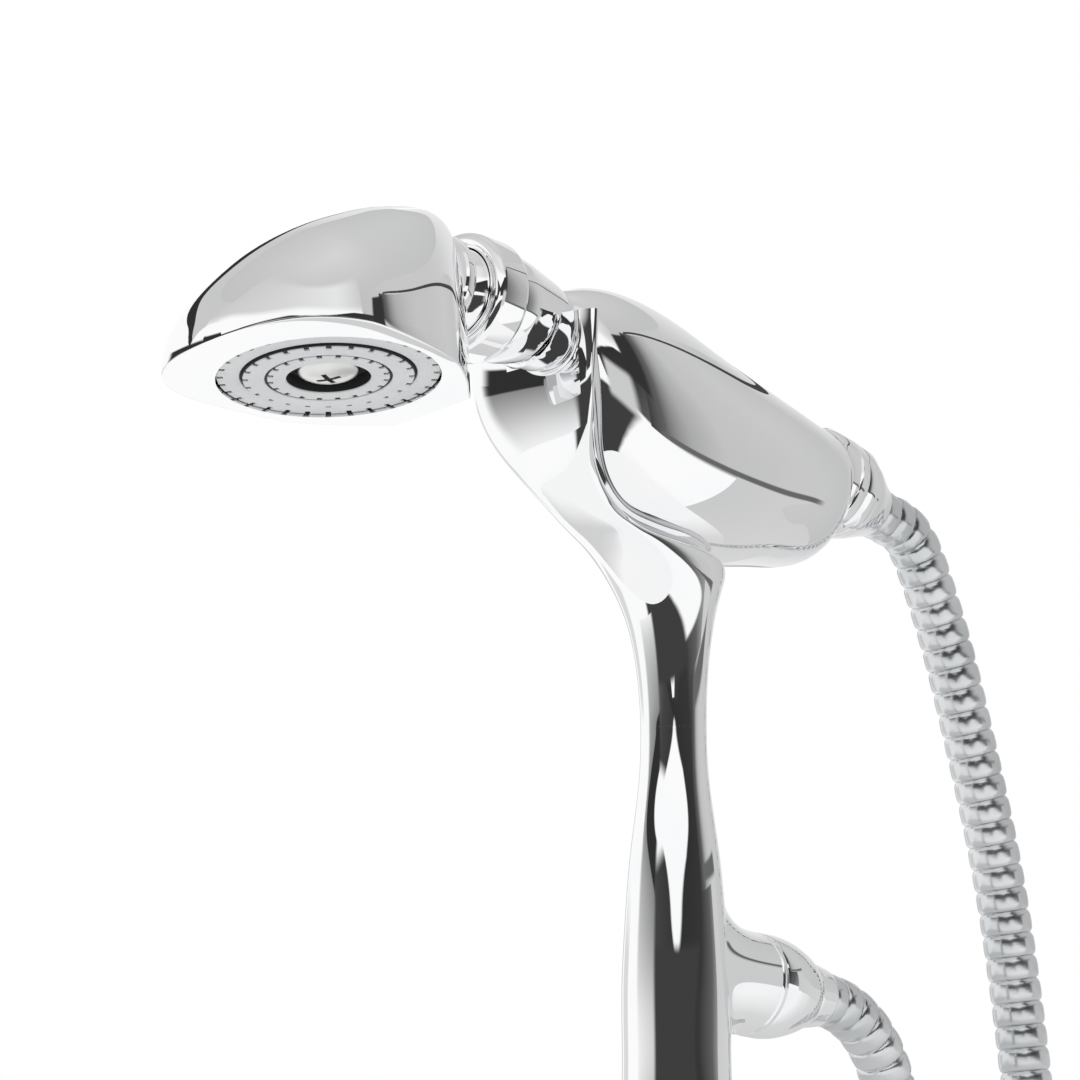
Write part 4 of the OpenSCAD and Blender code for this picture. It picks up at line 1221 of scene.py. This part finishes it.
@dataclass
class ColumnStand:
    """Hourglass column with its hose outlet, and the forked cradle on top."""

    hub_top: float = 80.0
    top: float = 241.0
    foot_radius: float = 19.5
    belly_radius: float = 13.4
    waist_radius: float = 8.3
    outlet_z: float = 140.5
    outlet_y: float = 28.0
    outlet_radius: float = 13.0
    outlet_root: float = 11.0
    nut_radius: float = 13.1
    nut_length: float = 19.0
    neck_z: float = 295.3
    notch_radius: float = 12.5
    notch_span: Pair = (-65.0, -35.0)
    cradle_rows: tuple[tuple[float, float, float, float, float, float], ...] = (
        (-8.3, -41.0, 8.3, -41.0, 8.3, 1.0),
        (-8.3, -39.5, 8.3, -39.5, 8.3, 1.0),
        (-8.55, -33.5, 8.42, -33.0, 8.42, 1.0),
        (-9.3, -26.0, 8.9, -25.0, 8.9, 1.0),
        (-10.7, -18.5, 9.9, -17.0, 9.8, 1.0),
        (-13.0, -11.8, 11.4, -8.6, 11.2, 1.0),
        (-16.6, -5.6, 13.3, -2.2, 12.6, 0.95),
        (-21.3, -0.8, 14.2, 1.7, 13.0, 0.9),
        (-26.5, 2.5, 12.2, 4.5, 12.2, 0.85),
        (-31.6, 5.0, 4.0, 4.8, 10.6, 0.78),
        (-36.0, 7.3, -8.0, 4.8, 9.4, 0.72),
        (-39.8, 9.9, -20.0, 6.6, 8.8, 0.66),
        (-43.0, 12.6, -30.4, 11.0, 9.2, 0.62),
        (-46.4, 16.2, -39.8, 17.6, 11.0, 0.58),
        (-50.0, 21.6, -46.0, 23.4, 14.2, 0.56),
        (-54.2, 30.2, -50.6, 32.0, 18.1, 0.55),
        (-56.4, 40.0, -52.8, 41.2, 20.2, 0.55),
        (-57.0, 52.8, -53.4, 52.8, 21.0, 0.55),
    )
    bow: float = 2.4

    def profile(self) -> list[Pair]:
        """Give the turned outline of the column as radius and height."""
        belly, waist = self.belly_radius, self.waist_radius
        knots = stepped(self.foot_radius, self.hub_top, (0, 0), (-0.4, 4))
        knots += stepped(belly, self.hub_top, (3.4, 12), (1, 22))
        knots += stepped(belly, self.outlet_z, (0, -26), (0, -6), (-0.9, 12))
        knots += stepped(waist, self.outlet_z, (2.7, 29.5))
        knots += stepped(waist, self.top, (0.9, -57), (0.2, -49), (0.01, -43), (0, -41))
        return smooth_profile(knots, 110)

    def build_column(self) -> None:
        """Turn the column and grow the hose outlet out of its side with a soft root."""
        outline = self.profile()
        column = turned("column_turned", outline, Matrix.Identity(4), 160)
        enter(column, CHROME, Body.MIXER, "column")
        radii, heights = zip(*outline)
        steps = 30
        rings = []
        for k in range(steps + 1):
            share = k / steps
            ease = share * share * (3 - 2 * share)
            across = self.outlet_radius - 0.35 * (1 - ease)
            tall = self.outlet_radius + self.outlet_root * (1 - share) ** 2.4
            ring = []
            for turn in circle_turns(96):
                x = across * math.cos(turn)
                z = self.outlet_z + tall * math.sin(turn)
                radius = float(np.interp(z, heights, radii)) - 0.12
                root = math.sqrt(max(radius * radius - x * x, 0.01))
                ring.append((x, root + (self.outlet_y - 2.4 - root) * share**1.7, z))
            rings.append(ring)
        lip = [(2.0, 1.0), (1.8, 0.97), (1.5, 0.955), (1.2, 0.97)]
        lip += [(1.0, 1.0), (0.4, 1.0), (0.1, 0.985), (0.0, 0.955)]
        middle = self.outlet_z
        for back, share in lip:
            y = self.outlet_y - back
            rings.append([(x * share, y, middle + (z - middle) * share) for x, _, z in rings[steps]])
        outlet = lofted("column_outlet_boss", rings, 50)
        enter(outlet, CHROME, Body.MIXER)

    def build_nut(self) -> None:
        """Turn the round union nut of the hose, domed towards its ferrule."""
        radius, length = self.nut_radius, self.nut_length
        dome = [(radius, 0.28 * length), (radius - 0.35, 0.45 * length), (radius - 1.3, 0.65 * length)]
        dome = smooth_profile([*dome, (radius - 2.6, 0.85 * length), (9.3, length - 0.4)], 24)
        rim = stepped(radius, 0, (-1.2, 0), (-0.4, 0.2), (0, 0.9))
        place = along((0, self.outlet_y + 0.5, self.outlet_z), (0, 1, 0))
        nut = turned("hose_union_nut_skin", [*rim, *dome, (8.6, length)], place)
        enter(nut, CHROME, Body.MIXER, "hose_union_nut")

    def build_cradle(self) -> None:
        """Loft the tongue from the seat to the forked rest and cut the notch for the neck."""
        rings = []
        for outer_y, outer_h, inner_y, inner_h, half, power in natural_curve(self.cradle_rows, 120):
            ring = []
            middle = np.array([(outer_y + inner_y) / 2, (outer_h + inner_h) / 2])
            depth = np.array([outer_y - inner_y, outer_h - inner_h]) / 2
            inward = -depth / np.linalg.norm(depth)
            for turn in circle_turns(72):
                x = half * signed_power(math.cos(turn), power)
                spot = middle + depth * signed_power(math.sin(turn), power)
                spot = spot + inward * self.bow * (1 - power) / 0.45 * (half / 20) * (x / 20) ** 2
                ring.append((x, float(spot[0]), self.top + float(spot[1])))
            rings.append(ring)
        cradle = lofted("fork_cradle", rings, 50)
        width, height = self.notch_radius, self.neck_z
        front, back = self.notch_span
        cut(cradle, drum(width, back - front, along((0, front, height), (0, 1, 0)), 96))
        cut(cradle, block((-width, front, height), (width, back, height + 20)))
        soften_edges(cradle, 0.5, 50)
        shade(cradle, 40)
        enter(cradle, CHROME, Body.MIXER, "cradle")


# Pieces that keep the CAD form


@dataclass
class CadDresser:
    """Dresses CAD nodes: plated ones as welded copies with soft edges, inner ones as they are."""

    frame: dict
    # Nodes that are plated, and how wide their edges are rounded in millimetres
    plated: tuple[tuple[str, float], ...] = (
        ("hot_leg", 0.5), ("cold_leg", 0.5), ("mixer_body", 0.0), ("valve_shrouds", 0.5),
        ("hot_handle", 0.4), ("cold_handle", 0.4), ("spout", 0.0), ("aerator_shell", 0.4),
        ("diverter_bonnet", 0.3), ("diverter_knob", 0.3), ("hose_ferrule", 0.25),
    )

    def body_of(self, node: str) -> Body:
        """Find the body that holds a node."""
        groups = self.frame["record"]["behaviour"]["bodies"]
        return next(Body(name) for name, members in groups.items() if node in members)

    def build(self) -> None:
        """Dress every CAD node that is still shown."""
        slots = {row["node"]: row["material_slot"] for row in self.frame["record"]["subparts"]}
        for name, node in self.frame["nodes"].items():
            FINISHES[slots[name]].dress(node)
        for name, width in self.plated:
            source = self.frame["nodes"][name]
            data = source.data.copy()
            copy = bpy.data.objects.new(name + "_plated", data)
            bpy.context.scene.collection.objects.link(copy)
            choose(copy)
            bpy.ops.mesh.customdata_custom_splitnormals_clear()
            face_outwards(copy)
            if width:
                soften_edges(copy, width, 40)
            shade(copy, 35)
            enter(copy, CHROME, self.body_of(name), name)


def main() -> None:
    """Build the studio and every piece around the loaded frame."""
    logging.basicConfig(level=logging.INFO, format="%(message)s")
    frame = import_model()
    studio = Studio()
    studio.make_camera()
    RibbedHose().build()
    studio.make_world()
    studio.make_floor()
    studio.make_panels()
    studio.make_lamp()
    head = SprayHead()
    neck = SwivelNeck()
    handle = Handle()
    stand = ColumnStand()
    steps: list[Callable[[], None]] = [
        head.build_shell,
        head.build_plate,
        head.build_screw,
        neck.build_ball,
        neck.build_nut,
        neck.build_neck,
        handle.build_body,
        handle.build_tail,
        stand.build_column,
        stand.build_nut,
        stand.build_cradle,
        CadDresser(frame).build,
    ]
    for step in steps:
        step()
    deselect()


if __name__ == "__main__":
    main()
